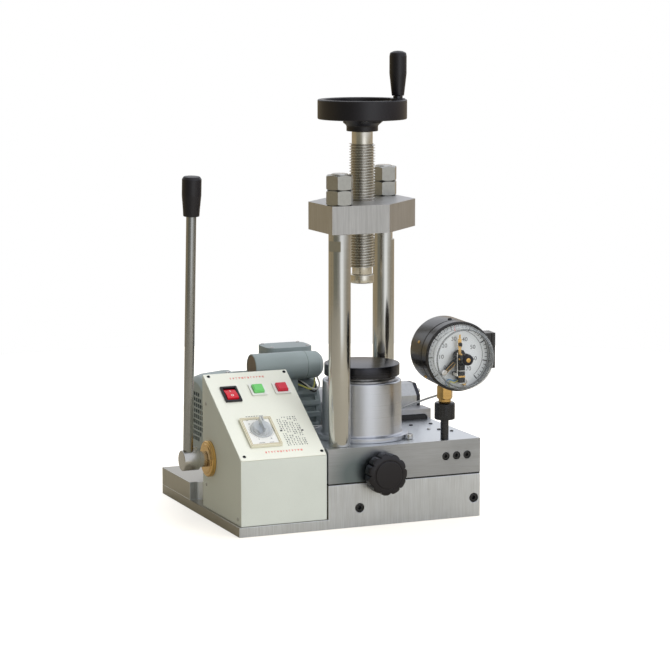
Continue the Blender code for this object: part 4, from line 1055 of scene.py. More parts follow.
def make_timer():
    """The dial timer: a moulded frame with a lined face, printed ticks and numbers, and a clear dial."""
    place = on_panel(TIMER_X, TIMER_T)
    face = SKIN + 2.5
    half_x, half_t = TIMER_WIDE / 2, TIMER_TALL / 2
    body = brick((-21.4, -21.4, -50), (21.4, 21.4, SKIN + 1))
    frame_plate = prism([rectangle(-half_x, -half_t, half_x, half_t, 1.5)], SKIN, SKIN + 4)
    pit = prism([rectangle(4 - half_x, 4 - half_t, half_x - 4, half_t - 4, 0.6)], face, SKIN + 9)
    bore = bar(3.4, -10, 12, 32)
    at_dial = at(DIAL_X - TIMER_X, DIAL_T - TIMER_T, 0)
    steps = ("UNION", frame_plate, UPRIGHT), ("DIFFERENCE", pit, UPRIGHT), ("DIFFERENCE", bore, at_dial)
    add("timer_case", combined(body, *steps), "timer cream", place, stands_for=["timer_body"], edge=0.5)
    hole = [circle(4, 48, DIAL_X - TIMER_X, DIAL_T - TIMER_T)]
    card = prism(
        [rectangle(4.6 - half_x, 4.6 - half_t, half_x - 4.6, half_t - 4.6), *hole], face, face + 0.25
    )
    add("timer_card", card, "white plastic", place)
    lines = []
    for inset, height in ((1.1, SKIN + 4), (3.1, SKIN + 4)):
        x, t, wide = half_x - inset, half_t - inset, 0.65
        sides = (-x, -t, x, -t + wide), (-x, t - wide, x, t), (-x, -t, -x + wide, t), (x - wide, -t, x, t)
        for a, b, c, d in sides:
            lines.append((brick((a, b, height - 0.05), (c, d, height + INK)), UPRIGHT))
    add("timer_gold_lines", merged(*lines), "gold ink", place)
    make_timer_scale(place @ at_dial, face + 0.25)
    make_timer_dial()


def make_timer_scale(place, face):
    """Ticks and numbers round the dial, and generic bars in the face's corners."""
    prints = []
    ticks, numbered, sweep = 30, 5, 300
    for number in range(ticks + 1):
        turn = 240 - number * sweep / ticks
        long = number % numbered == 0
        tick = brick((17.6, -0.22, face - 0.05), (19.8 if long else 18.8, 0.22, face + INK))
        prints.append((tick, spin(turn)))
        if long:
            angle = math.radians(turn)
            spot = at(22.2 * math.cos(angle) * 0.84, 22.2 * math.sin(angle), face)
            prints.append((label(str(number // numbered * 10), 2.6, INK * 2), spot))
    for x, t, wide in ((-17, 22.5, 5), (-17, 20.9, 3.6), (-12, -27, 9), (4, -27, 7), (9, 22.5, 6)):
        prints.append((brick((x, t, face - 0.05), (x + wide, t + 0.7, face + INK)), UPRIGHT))
    add("timer_scale", merged(*prints), "ink", place)


def make_timer_dial():
    """A clear dial with a raised finger wing, edge notches, a dark core and ring, and an index line."""
    base = SKIN + 2.5 + GAP
    profile = [
        (0, base + 8), (13, base + 7.4, 2.5), (16.6, base + 1.8, 1.5), (17, base, 0.4), (3, base),
        (3, -8), (0, -8),
    ]
    dial = lathe(profile, 96, 5)
    wing = prism([rectangle(-2.6, -14, 2.6, 14, 2.4)], base + 4, base + 15.6)
    notches = []
    for number in range(24):
        notches.append((bar(0.75, base - 1, base + 7, 12, 0.1), spin(number * 15) @ at(17.2, 0, 0)))
    dial = combined(dial, ("UNION", wing, UPRIGHT), *[("DIFFERENCE", mesh, where) for mesh, where in notches])
    place = on_panel(DIAL_X, DIAL_T)
    add("timer_dial", dial, "dial clear", place, "dial", stands_for=["timer_knob"], edge=0.5)
    core = prism(
        [rounded([(-2, -12.5, 3), (6.5, -5, 6), (2, 12.5, 3), (-6.5, 5, 6)], steps=8)], base + 0.4,
        base + 4.6,
    )
    add("timer_dial_core", core, "dial core", place @ spin(-35), "dial", edge=0.6)
    ring = turned(
        [(12.2, base + 0.55), (12.2, base + 0.3), (11.7, base + 0.3), (11.7, base + 0.55)], 96, ring=True
    )
    add("timer_dial_ring", ring, "ink", place, "dial")
    index = brick((-0.35, 2, base + 15.62), (0.35, 13, base + 15.8))
    add("timer_dial_index", index, "ink", place, "dial")


# ---------------------------------------------------------------- hand lever, pump and release valve

def make_lever():
    """The lever hub with its rod, clamp screw and grip, and the brass bearing flange."""
    shaft, box_side = 8, BOX_LOW.x
    left, flange = LEVER_X - 10, 7.4
    collar = box_side - GAP - flange - GAP
    profile = [(0, left), (15, left, 1.2), (15, LEVER_X + 15, 0.5), (11.5, LEVER_X + 15), (11.5, collar, 0.4)]
    profile += [(shaft + GAP, collar), (shaft + GAP, LEVER_X - 5), (0, LEVER_X - 5)]
    hub = lathe(profile, 96, 4)
    socket = bar(7.6, 4, 20, 48)
    spot = bar(2.6, 11, 20, 32)
    from_axis = LEVER_AXIS.inverted()
    screw_place = from_axis @ at(LEVER_X + 11, LEVER_Y, LEVER_Z)
    hub = cut(hub, (socket, from_axis @ LEVER_ROD), (spot, screw_place))
    add("lever_hub_body", hub, "turned steel", LEVER_AXIS, "lever", stands_for=["lever_hub"])
    clamp = socket_screw(2.4, 3.4, 1.1, 0.3)
    add("lever_clamp_screw", clamp, "black oxide", at(LEVER_X + 11, LEVER_Y, LEVER_Z + 11.2), "lever")
    rod = bar(7.25, 9, 403, 64, 1)
    add("lever_rod_body", rod, "lever chrome", LEVER_ROD, "lever", stands_for=["lever_rod"])
    key = brick((-3, -6.5, 12.6), (3, -1, 20))
    add("lever_key", key, "turned steel", at(LEVER_X + 10, LEVER_Y + 3, LEVER_Z), "lever", edge=0.4)
    low, high = 359, 416.5
    profile = [
        (0, high), (11.6, high - 0.4, 1.5), (14, high - 4, 2), (14, high - 27, 6), (12.2, low + 10, 12)
    ]
    profile += [(11.6, low + 0.2, 0.6), (7.6, low + 0.2), (7.6, 404), (0, 404)]
    grip = lathe(profile, 96, 5)
    add("lever_grip_body", grip, "black plastic", LEVER_ROD, "lever", stands_for=["lever_grip"])
    outer = box_side - GAP
    face = outer - flange
    ring = [(shaft + GAP, face, 0.6), (21, face, 0.6), (22, face + 0.9), (25.2, face + 0.9, 0.8)]
    ring += [(26.5, face + 2.2, 0.6), (26.5, face + 4.4, 0.2), (26.1, face + 4.8), (26.5, face + 5.2, 0.2)]
    ring += [(26.5, outer, 0.3), (12, outer), (12, outer + 18), (shaft + GAP, outer + 18)]
    bearing = lathe(ring, 128, 4, ring=True)
    add("lever_bearing_body", bearing, "brass", LEVER_AXIS, stands_for=["lever_bearing"])
    dress("cross_shaft", "turned steel")


def make_hand_pump():
    dress("hand_pump_body", "inner steel")
    dress("hand_pump_plunger", "chrome")


def make_release_knob():
    """A lobed star knob: rounded lobes with narrow valleys, a thin sunken ring and a low middle disc."""
    front = -BLOCK_LOW.y
    place = at(VALVE_X, 0, VALVE_Z, FRONT)
    outline = []
    lobes, steps = 11, 24
    for number in range(lobes * steps):
        turn = 2 * math.pi * number / (lobes * steps)
        wave = abs(math.cos(lobes * turn / 2)) ** 0.5
        radius = 26 + 4.6 * wave
        outline.append((radius * math.cos(turn), radius * math.sin(turn)))
    body = prism([outline], front + 6, front + 26)
    dome = rounded(
        [
            (0, front + 27), (23, front + 26.6, 5), (30.8, front + 23, 4), (30.8, front + 8, 4),
            (22, front + 5, 4), (0, front + 5),
        ],
        False, 6,
    )
    knob = combined(body, ("INTERSECT", turned(dome, 96), UPRIGHT))
    neck = bar(12, front + 1, front + 9, 64, 0.8)
    ring = lathe(
        [(22, front + 32), (22, front + 25.6, 0.5), (20.4, front + 25.6, 0.5), (20.4, front + 32)], 96,
        ring=True,
    )
    disc = lathe([(0, front + 27.6), (20.4, front + 27.2, 1.2), (20.6, front + 20), (0, front + 20)], 96)
    bore = bar(6.3, front, front + 24.3, 48)
    steps = ("UNION", neck, UPRIGHT), ("DIFFERENCE", ring, UPRIGHT), ("UNION", disc, UPRIGHT)
    knob = combined(knob, *steps, ("DIFFERENCE", bore, UPRIGHT))
    add("release_knob_body", knob, "wheel black", place, "valve", stands_for=["release_knob"], edge=0.8)
    dress("release_spindle", "turned steel")


# ---------------------------------------------------------------- motor and motor pump

FIN_RADIUS, FIN_ROOT, FINS, COVER_RADIUS = 62, 54.5, 22, 65


def make_fan_cover():
    """The pressed fan cover, with a round field of square holes in its end and three screws at its rim."""
    low, high = corners("fan_cover")
    left, right, skin = low.x, high.x, 0.9
    outer = [(0, left), (51, left, 5), (59, left + 6, 8), (62, left + 16, 10), (COVER_RADIUS, right - 8, 20)]
    outer += [(COVER_RADIUS, right, 0.6)]
    inner = [(COVER_RADIUS - skin, right, 0.6), (COVER_RADIUS - skin, right - 8, 18), (60, left + 16, 8)]
    inner += [(56, left + 8, 6), (50, left + skin, 4), (0, left + skin)]
    shell = lathe(outer + inner, 128, 6)
    pitch, hole, reach = 8.4, 6.0, 42
    holes = []
    steps = int(reach / pitch)
    for row in range(-steps, steps + 1):
        for column in range(-steps, steps + 1):
            x, y = row * pitch, column * pitch
            if math.hypot(x, y) < reach:
                square = brick((x - hole / 2, y - hole / 2, left - 3), (x + hole / 2, y + hole / 2, left + 5))
                holes.append((square, UPRIGHT))
    shell = cut(shell, (merged(*holes), UPRIGHT))
    add("fan_cover_shell", shell, "motor paint", MOTOR_AXIS, stands_for=["fan_cover"], edge=0.2, segments=2)
    for number, turn in enumerate((100, 220, 340)):
        angle = math.radians(turn)
        reach = COVER_RADIUS - 0.3
        y, z = MOTOR_Y + reach * math.cos(angle), MOTOR_Z + reach * math.sin(angle)
        place = at(right - 7, y, z, Matrix.Rotation(angle - math.pi / 2, 4, "X"))
        outline = [(0, 1.9), (2.4, 1.6, 1), (3.2, 0.2, 0.4), (3.2, -0.4), (0, -0.4)]
        add(f"fan_cover_screw_{number}", slotted_screw(outline, 0.4, 1.1), "bare screw", place)


def make_motor_frame():
    """The finned cast frame and its end bell."""
    low, high = corners("motor_frame")
    outline = []
    for number in range(FINS):
        middle = 2 * math.pi * number / FINS
        fin = (
            (FIN_ROOT, -0.098, 1.6), (FIN_RADIUS, -0.062, 1.8), (FIN_RADIUS, 0.062, 1.8),
            (FIN_ROOT, 0.098, 1.6),
        )
        for radius, turn, corner in fin:
            angle = middle + turn
            outline.append((radius * math.cos(angle), radius * math.sin(angle), corner))
    section = [rounded(outline, steps=4), circle(36)]
    body = prism(section, low.x, high.x)
    rims = [(low.x, low.x + 4), (high.x - 4, high.x)]
    bands = []
    for start, end in rims:
        ring = rounded([(FIN_RADIUS - 3, end), (FIN_RADIUS - 3, start), (40, start), (40, end)])
        bands.append((turned(ring, 96, ring=True), UPRIGHT))
    body = joined(body, *bands)
    add(
        "motor_frame_casting", body, "cast paint", MOTOR_AXIS, stands_for=["motor_frame"], edge=0.5,
        segments=2,
    )
    low, high = corners("motor_end_bell")
    left, right = low.x, high.x
    bell = [(8.3, left), (57, left, 1), (57, left + 5, 1.5), (46, right - 2, 4), (30, right, 3), (8.3, right)]
    ring = lathe(bell, 96, ring=True)
    add("end_bell_casting", ring, "cast paint", MOTOR_AXIS, stands_for=["motor_end_bell"])


def make_motor_foot():
    """A cast foot: a bolted plate, two webs and a saddle for the frame."""
    low, high = corners("motor_foot")
    foot_sheet = 9
    block = brick(low, high)
    saddle = bar(FIN_RADIUS + GAP, low.x - 10, high.x + 10, 96)
    plate_top = low.z + foot_sheet
    window = brick((low.x + 8, low.y - 5, plate_top), (high.x - 8, high.y + 5, high.z + 5))
    ends = [
        brick((low.x - 5, y, plate_top), (high.x + 5, y + 14, high.z + 5))
        for y in (low.y - 2, high.y - 12)
    ]
    foot = cut(block, (saddle, MOTOR_AXIS), (window, UPRIGHT), *[(end, UPRIGHT) for end in ends])
    add("motor_foot_casting", foot, "cast paint", stands_for=["motor_foot"], edge=0.9)
    for number, (x, y) in enumerate(inner_corners(low, high, 14, 6.5)):
        bolt = joined(bar(5.5, 0, 1, 32, 0.2), (hexagon_nut(8, 4, 0.5), at(0, 0, 0.9)))
        place = at(x, y, low.z + foot_sheet + GAP / 2)
        add(f"foot_bolt_{number}", bolt, "nut steel", place, edge=0.2, segments=2)


def make_terminal_box():
    """The motor's connection box: a base, a lid with a seam, and a screw in each corner of the lid."""
    low, high = corners("motor_terminal_box")
    corner = 14
    outline = rectangle(low.x, low.y, high.x, high.y, corner)
    inset = rectangle(low.x + 0.8, low.y + 0.8, high.x - 0.8, high.y - 0.8, corner - 0.8)
    seam = high.z - 9
    base = prism([outline], low.z, seam)
    neck = prism([inset], seam - 1, seam + 1.4)
    lid = prism([outline], seam + 0.8, high.z)
    body = joined(base, (neck, UPRIGHT), (lid, UPRIGHT))
    add("terminal_box_casting", body, "cast paint", stands_for=["motor_terminal_box"], edge=1.1)
    outline = [(0, 1.6), (2.2, 1.4, 1), (3, 0.2, 0.4), (3, -0.3), (0, -0.3)]
    for number, (x, y) in enumerate(inner_corners(low, high, 8, 8)):
        screw = slotted_screw(outline, 0.35, 0.9)
        add(f"lid_screw_{number}", screw, "bare screw", at(x, y, high.z, spin(30)))


def make_capacitor():
    """The run capacitor: a painted can with a crimped cap, a stud at its foot, a saddle and its leads."""
    low, high = corners("capacitor_can")
    left, right, radius = low.x, high.x, (high.z - low.z) / 2
    crimp = -50
    profile = [
        (0, right), (14, right, 5), (radius - 1, right - 7, 6), (radius, crimp, 0.6),
        (radius - 0.7, crimp - 0.5),
    ]
    profile += [
        (radius - 0.7, crimp - 1.6), (radius, crimp - 2.1, 0.6), (radius, left, 1.2), (radius - 2, left)
    ]
    profile += [(radius - 2.4, left + 1.4), (0, left + 1.4)]
    can = lathe(profile, 96, 6)
    add("capacitor_body", can, "motor paint", CAPACITOR_AXIS, stands_for=["capacitor_can"])
    end = lathe(
        [(0, left + 1.6), (radius - 2.6, left + 1.6), (radius - 2.6, left + 0.4, 0.4), (0, left + 0.4)],
        64,
    )
    add("capacitor_end_disc", end, "phenolic", CAPACITOR_AXIS)
    stud = hexagon_nut(7, 3, 1.4)
    add("capacitor_nut", stud, "bare screw", CAPACITOR_AXIS @ at(-10, -11, left - 2.7), edge=0.2, segments=2)
    saddle = brick((-112, 97, 172), (-62, 117, 200))
    can_space = bar(radius + GAP, left - 5, right + 5, 96)
    frame_space = bar(FIN_RADIUS + GAP, -130, -40, 96)
    saddle = cut(saddle, (can_space, CAPACITOR_AXIS), (frame_space, MOTOR_AXIS))
    add("capacitor_saddle", saddle, "cast paint", edge=0.5, segments=2)
    routes = (
        (
            "yellow wire",
            (
                (-74, 118, 186), (-66, 105, 184), (-56, 93, 180), (-46, 87.5, 176), (-38, 92, 180),
                (-34, 100, 190),
            ),
        ),
        (
            "white wire",
            (
                (-58, 118, 189), (-52, 100, 184), (-44, 88, 177), (-36, 85, 176), (-31, 88, 183),
                (-32, 96, 193),
            ),
        ),
        (
            "dark wire",
            (
                (-64, 120, 188), (-56, 106, 185), (-50, 95, 180), (-43, 90, 173), (-36, 90, 172),
                (-34, 97, 181),
            ),
        ),
    )
    for look, route in routes:
        add(f"motor_lead_{look.split()[0]}", tube(route, 1.3), look)


def make_pump():
    """The motor pump: an octagonal body with a clamped middle, and its dark end cover."""
    low, high = corners("pump_body")
    left, right = low.x, high.x
    flats, idler_drop, bolt_circle = 28, -15.2, 24

    def octagon(half):
        return circle(half / math.cos(math.pi / 8), 8, start=math.pi / 8)

    body = prism([octagon(flats)], left, right)
    grooves = []
    for start in (34, 112):
        outer = circle(60, 48)
        grooves.append((prism([outer, octagon(flats - 0.9)], start, start + 1.6), UPRIGHT))
    bay = bar(18, left - 2, 20, 64)
    chambers = [(bar(9.5, 118.2, right + 2, 48), at(0, drop, 0)) for drop in (0, idler_drop)]
    bore = bar(5.3, 15, 119, 48)
    body = cut(body, *grooves, (bay, UPRIGHT), (bore, UPRIGHT), *chambers)
    add("pump_housing", body, "pump", MOTOR_AXIS, stands_for=["pump_body"], edge=1.6)
    low, high = corners("pump_end_cover")
    cover = prism([octagon(flats)], low.x, high.x)
    seats = [
        (bar(5.3, low.x - 1, low.x + 4, 48), UPRIGHT),
        (bar(3.8, low.x - 1, low.x + 4, 48), at(0, idler_drop, 0)),
    ]
    add("pump_cover", cut(cover, *seats), "black steel", MOTOR_AXIS, stands_for=["pump_end_cover"], edge=1.2)
    for number in range(4):
        place = MOTOR_AXIS @ at(*polar(bolt_circle, 45 + number * 90), high.x)
        add(f"cover_bolt_{number}", socket_screw(3.4, 3.4, 1.5, 0.4), "bare screw", place)
    for node in ("pump_drive_gear", "pump_idler_gear", "shaft_coupling", "motor_rotor"):
        dress(node, "turned steel")
    dress("motor_fan", "dull black")


def make_rear_block():
    """The manifold behind the hydraulic block, with a dark filler in its long slot that paints the shade in
    that recess.
    """
    low, high = corners("rear_block")
    ends = 6.5
    front = low.y

    def slot(half):
        right, left = (141.5, 118.5), (40, 118.5)
        outline = [(right[0] + half * math.cos(a), right[1] + half * math.sin(a)) for a in half_turn(-90)]
        outline += [(left[0] + half * math.cos(a), left[1] + half * math.sin(a)) for a in half_turn(90)]
        return outline

    block = cut(brick(low, high), (prism([slot(ends)], -12, 2), at(0, front, 0, FRONT)))
    add("rear_block_body", block, "rear steel", stands_for=["rear_block"], edge=0.8)
    # A dark filler in the slot: painted shade in the recess.
    slot_shade = prism([slot(ends - 0.25)], -11.8, -1)
    add("rear_block_slot_shade", slot_shade, "dull black", at(0, front, 0, FRONT), edge=0.3)


def half_turn(start):
    return [math.radians(start + 15 * i) for i in range(13)]


# ---------------------------------------------------------------- contact gauge

CASE_RADIUS, CASE_BACK, CASE_FRONT, WINDOW_FRONT = 50, -17, 59, 87
SCALE_TOP, SCALE_STEP, SCALE_START, SCALE_SWEEP = 70, 10, 220, 270


def make_gauge_case():
    """The drawn case with its rolled bezel, relief plug, side lug and screws."""
    wall = 2.5
    back = CASE_BACK
    profile = [(0, back + wall), (CASE_RADIUS - wall, back + wall), (CASE_RADIUS - wall, CASE_FRONT - 1)]
    profile += [(CASE_RADIUS, CASE_FRONT - 1), (CASE_RADIUS, 42, 1), (CASE_RADIUS - 0.6, 40.5, 0.5)]
    profile += [(CASE_RADIUS - 0.6, 38.5, 0.5), (CASE_RADIUS, 37, 1), (CASE_RADIUS - 0.6, back + 4, 3)]
    profile += [(CASE_RADIUS - 5, back, 3), (0, back)]
    case = lathe(profile, 128, 5)
    hole = bar(6.3, 190, 215, 48)
    case = cut(case, (hole, GAUGE.inverted() @ GAUGE_POST))
    add("gauge_case_shell", case, "enamel", GAUGE, stands_for=["gauge_case"])
    ring = [(CASE_RADIUS + 0.6, CASE_FRONT - 2.4, 0.8), (CASE_RADIUS + 0.6, CASE_FRONT + 3.4, 1.6)]
    ring += [(47.1, CASE_FRONT + 3.4, 0.8), (46.6, CASE_FRONT + 2.6, 0.4), (49.3, CASE_FRONT + 2.6)]
    ring += [
        (49.3, CASE_FRONT - 0.7), (CASE_RADIUS + 0.1, CASE_FRONT - 0.7),
        (CASE_RADIUS + 0.1, CASE_FRONT - 2.4),
    ]
    add("gauge_bezel", lathe(ring, 160, 4, ring=True), "enamel", GAUGE)
    plug = lathe([(0, 1.7), (1.8, 1.6, 0.6), (3.2, 0.5, 0.6), (3.2, -1), (0, -1)], 48)
    upward = Matrix.Rotation(-math.pi / 2, 4, "X")
    add("case_relief_plug", plug, "dull black", GAUGE @ at(-3.5, CASE_RADIUS, 30, upward))
    lug = prism([rounded([(34, -42, 2), (44, -34, 2), (44.5, -41.5, 3), (38, -47, 3)], steps=5)], 12, 22)
    lug = cut(lug, (bar(CASE_RADIUS + 0.1, -20, 60, 96), UPRIGHT))
    add("case_lug", lug, "enamel", GAUGE, edge=0.8)
    for number, turn in enumerate((223, 160)):
        place = GAUGE @ at(*polar(CASE_RADIUS, turn), 20)
        outward = spin(turn) @ Matrix.Rotation(math.pi / 2, 4, "Y")
        head = lathe([(0, 1.6), (1.8, 1.3, 1), (2.6, 0.2, 0.4), (2.6, -0.8), (0, -0.8)], 32)
        add(f"case_screw_{number}", head, "brass", place @ outward)


def make_gauge_window():
    """A moulded dome over the dial, with a dark ring round its shoulder that paints the reflection in its
    curved edge.
    """
    outer = [
        (3.4, WINDOW_FRONT), (42, WINDOW_FRONT, 4), (45.4, WINDOW_FRONT - 4, 3),
        (46.5, CASE_FRONT + 1.6, 0.6),
    ]
    flange = [(49, CASE_FRONT + 1.6), (49, CASE_FRONT + GAP), (44.5, CASE_FRONT + GAP)]
    inner = [(43.6, WINDOW_FRONT - 5, 4), (40, WINDOW_FRONT - 1.8, 6), (3.4, WINDOW_FRONT - 1.8)]
    window = lathe(outer + flange + inner, 128, 6, ring=True)
    add("gauge_dome", window, "window", GAUGE, stands_for=["gauge_window"])
    # A dark ring at the dome's shoulder: painted reflection of its curved edge.
    shoulder = [
        (41.4, WINDOW_FRONT - 0.5), (43.2, WINDOW_FRONT - 1.9), (42.5, WINDOW_FRONT - 2.6),
        (40.8, WINDOW_FRONT - 1.2),
    ]
    add("gauge_dome_shoulder", turned(shoulder, 128, ring=True), "painted dome edge", GAUGE)


def make_gauge_dial():
    """The dial plate, its ticks, numbers and scale arc, and a red limit mark."""
    face = 55
    plate = prism([circle(47.2, 128), circle(3.4, 48)], face - 1, face)
    add("gauge_dial_plate", plate, "dial", GAUGE, stands_for=["gauge_dial"])
    prints = []
    minor = 2
    for value in range(0, SCALE_TOP + 1, minor):
        turn = SCALE_START - value * SCALE_SWEEP / SCALE_TOP
        major = value % SCALE_STEP == 0
        inner, half = (38.5, 0.8) if major else (41.2, 0.4)
        prints.append((brick((inner, -half, face - 0.1), (45, half, face + INK)), spin(turn)))
        if major:
            prints.append((label(str(value), 8.4, INK * 2), at(*polar(25.5, turn), face)))
    turns = [SCALE_START - SCALE_SWEEP * i / 90 for i in range(91)]
    for radius, half in ((45.2, 0.35), (37.5, 0.3)):
        arc = [polar(radius + half, turn) for turn in turns]
        arc += [polar(radius - half, turn) for turn in reversed(turns)]
        prints.append((prism([arc], face - 0.1, face + INK), UPRIGHT))
    add("gauge_scale", merged(*prints), "ink", GAUGE)
    mark = brick((36.5, -0.7, face - 0.1), (44, 0.7, face + INK * 1.5))
    add("gauge_limit_mark", mark, "red ink", GAUGE @ spin(97))


def make_gauge_hands():
    """The pointer, and the setting hand, its contact block and its knob."""
    hand = [
        (-1.6, -11, 1), (1.6, -11, 1), (2.4, 0), (1.2, 26), (0.35, 38), (-0.35, 38), (-1.2, 26),
        (-2.4, 0),
    ]
    pointer = joined(prism([rounded(hand, steps=3)], 57, 57.8), (bar(2.9, 50, 59, 48, 0.3), UPRIGHT))
    rest = spin(135)
    add("gauge_hand", pointer, "ink", GAUGE @ rest, "pointer", stands_for=["gauge_pointer"])
    knob = [(0, 99.6), (5, 99.6, 1.2), (8, 98.4, 1.6), (8.5, 88.3, 0.8), (3, 88.3), (3, 62), (0, 62)]
    knob = lathe(knob, 64, 4)
    notches = [(bar(0.8, 86, 97, 12, 0.2), spin(18 * i) @ at(8.9, 0, 0)) for i in range(20)]
    arm_outline = [
        (-2, 2), (2, 2), (2, 13), (2.7, 13), (2.7, 25), (1.6, 26), (1.1, 32), (-1.1, 32), (-1.6, 26),
        (-2.7, 25),
    ]
    arm = prism([[*arm_outline, (-2.7, 13), (-2, 13)]], 62.5, 63.3)
    setting = cut(knob, *notches)
    add("setting_knob", setting, "black plastic", GAUGE, "setting", stands_for=["gauge_setting_knob"])
    collar = lathe([(5, 62.4), (5, 64.6, 0.4), (3.05, 64.6), (3.05, 62.4)], 48, ring=True)
    add("setting_arm", joined(arm, (collar, UPRIGHT)), "brass", GAUGE, "setting", edge=0.15, segments=2)
    add("setting_centre_screw", socket_screw(3.2, 0.9, 1.1, 0.3), "brass", GAUGE @ at(0, 0, 99.4), "setting")
    block = brick((-11.5, -3.5, 64.8), (-4.6, 3.5, 72))
    add("setting_contact", block, "dull black", GAUGE, "setting", edge=0.6)
    pad = brick((-1.2, 15, 63.3), (2.6, 20, 67))
    add("setting_contact_pad", pad, "dull black", GAUGE, "setting", edge=0.5)


def make_gauge_contacts():
    """The fixed contact bridge under the hands, with its blocks, strips and coloured leads."""
    bridge = joined(
        prism([circle(10, 64), circle(3.6, 48)], 59.8, 61.6),
        (prism([rectangle(-5, -37, 6, -6, 1.5)], 59.8, 61.6), UPRIGHT),
        (prism([rounded([(-4, -9), (-9, -4), (-25.4, -20.8, 2.2), (-20.4, -25.8, 2.2)])], 59.8, 61), UPRIGHT),
        (bar(2.6, 55.1, 60.5, 32, 0.3), at(0, -33, 0)),
    )
    add("contact_bridge", bridge, "dull black", GAUGE, edge=0.2, segments=2)
    blocks = (
        ("contact_block_upper", "dull black", (-3, -19, 61.6), (5.4, -11.6, 71)),
        ("contact_block_spacer", "white plastic", (-3.4, -20.2, 61.6), (5.8, -19.2, 71.4)),
        ("contact_block_middle", "dull black", (-3, -26.4, 61.6), (5.4, -20.4, 71)),
        ("contact_block_gold", "brass", (-3.6, -29.6, 61.6), (6.4, -26.8, 70)),
        ("contact_block_lower", "dull black", (-3, -36.8, 61.6), (5.6, -30, 71)),
        ("contact_block_foot", "white plastic", (-3.4, -38, 61.6), (6, -37, 71.2)),
        ("contact_strip_post", "white plastic", (-9.6, -26, 61), (-7.6, -22.5, 77)),
        ("contact_strip", "white plastic", (-9.3, -26, 77), (-8.1, 8, 77.5)),
        ("contact_foot", "dull black", (-10.4, -27, 59.8), (-4.5, -21.5, 61.4)),
        ("contact_tab", "brass", (6.6, -42.5, 55.1), (10, -38.5, 62)),
    )
    for name, look, low, high in blocks:
        add(name, brick(low, high), look, GAUGE, edge=0.3, segments=2)
    screw = socket_screw(4.2, 1.2, 1.1, 0.3)
    add("bridge_screw", screw, "bare screw", GAUGE @ at(-22.4, -22.8, 61))
    for number, shift in enumerate((-1.6, 1.6)):
        route = [
            (-7 + shift * 0.7, -9 - shift * 0.7), (-12 + shift, -14 - shift),
            (-21 + shift * 0.6, -22 - shift * 0.6),
        ]
        lead = tube([(*point, 61.7) for point in route], 0.55, 3)
        add(f"hair_lead_{number}", lead, "brass", GAUGE)
    leads = (
        (
            "blue wire",
            ((-4, -33, 63), (-9, -35, 61), (-14.6, -32.6, 60), (-19, -37, 57.5), (-17, -42.5, 56.3)),
        ),
        ("yellow wire", ((-3, -34, 65), (-8, -38, 62), (-12, -36, 60), (-14, -41, 57.5), (-12, -44, 56.6))),
        ("white wire", ((5, -34, 64), (10, -33, 62), (13, -37, 59), (11, -42, 57), (9, -44.5, 56.7))),
    )
    for look, route in leads:
        add(f"gauge_wire_{look.split()[0]}", tube(route, 0.75, 3), look, GAUGE)


def make_gauge_terminal_box():
    low, high = Vector((CASE_RADIUS + 0.5, -27, -11)), Vector((72, 25, 16))
    seam = 66
    body = brick(low, (seam, high.y, high.z))
    neck = brick((seam - 1, low.y + 0.8, low.z + 0.8), (seam + 1, high.y - 0.8, high.z - 0.8))
    lid = brick((seam + 0.7, low.y, low.z), high)
    body = joined(body, (neck, UPRIGHT), (lid, UPRIGHT))
    add("terminal_box_body", body, "enamel", GAUGE, stands_for=["gauge_terminal_box"], edge=1.2)
    for number, y in enumerate((low.y + 6, high.y - 6)):
        place = GAUGE @ at(high.x, y, (low.z + high.z) / 2, SIDE)
        add(f"terminal_screw_{number}", socket_screw(2.6, 1.4, 1, 0.3), "bare screw", place)
    exit_ring = rounded([(4.4, 0.2, 0.4), (4.4, -3.4, 0.8), (3, -4.8, 0.6), (1.75, -4.8), (1.75, 0.2)])
    place = GAUGE @ at(60.1, -10.5, low.z - 0.2)
    add("gauge_lead_gland", turned(exit_ring, 48, ring=True), "dull black", place)


def make_gauge_post():
    """The stem, the knurled union nut and the brass connector."""
    dress("gauge_stem", "black oxide")
    low, high = corners("gauge_union_nut")
    radius, inner = 15, 8.5
    profile = [
        (inner, high.z), (radius - 1, high.z, 1.6), (radius, high.z - 2, 1), (radius, low.z, 1.4),
        (6.3, low.z),
    ]
    profile += [(6.3, 153), (inner, 153)]
    nut = lathe(profile, 96, ring=True)
    flutes = [
        (bar(0.9, low.z - 2, high.z + 2, 12, 0.1), spin(9 * i) @ at(radius + 0.55, 0, 0))
        for i in range(40)
    ]
    nut = cut(nut, (merged(*flutes), UPRIGHT))
    add("union_nut", nut, "black oxide", GAUGE_POST, stands_for=["gauge_union_nut"])
    low, high = corners("gauge_connector")
    neck = [
        (0, high.z), (6, high.z), (6, 198), (9, 197.5, 0.5), (9, 173, 0.8), (8.2, 172), (8.2, low.z),
        (0, low.z),
    ]
    connector = lathe(neck, 64, 3)
    hexagon = hexagon_nut(21, 20, 5)
    connector = joined(connector, (hexagon, at(0, 0, 177.2) @ Matrix.Rotation(GAUGE_TURN, 4, "Z")))
    node = "gauge_connector"
    add("connector_body", connector, "brass", GAUGE_POST, stands_for=[node], edge=0.2, segments=2)


LEAD_RADIUS = 1.6
LEAD_ROUTE = (
    (161, -68.3, 238),
    (160, -57, 236),
    (153, -48, 224),
    (142, -45, 207),
    (131, -44, 192),
    (119, -40, 181),
    (109, -28, 174),
    (104.4, 0, 164.5),
    (99.5, 38, 151),
    (96.5, 63, 142.5),
    (91, 76, 136),
    (80, 83, 128),
    (58, 83.6, 121),
    (20, 82.8, 119.2),
    (-25, 82, 119.2),
    (-58, 79, 121),
    (-76, 71, 128),
    (-85, 65, 134),
    (-90.2, LEAD_HOLE_Y, LEAD_HOLE_Z),
)


def make_gauge_lead():
    """The lead from the gauge's contacts to the control box, along the block's rear edge."""
    add("gauge_lead_cable", tube(LEAD_ROUTE, LEAD_RADIUS), "cable", stands_for=["gauge_lead"])


# ---------------------------------------------------------------- studio

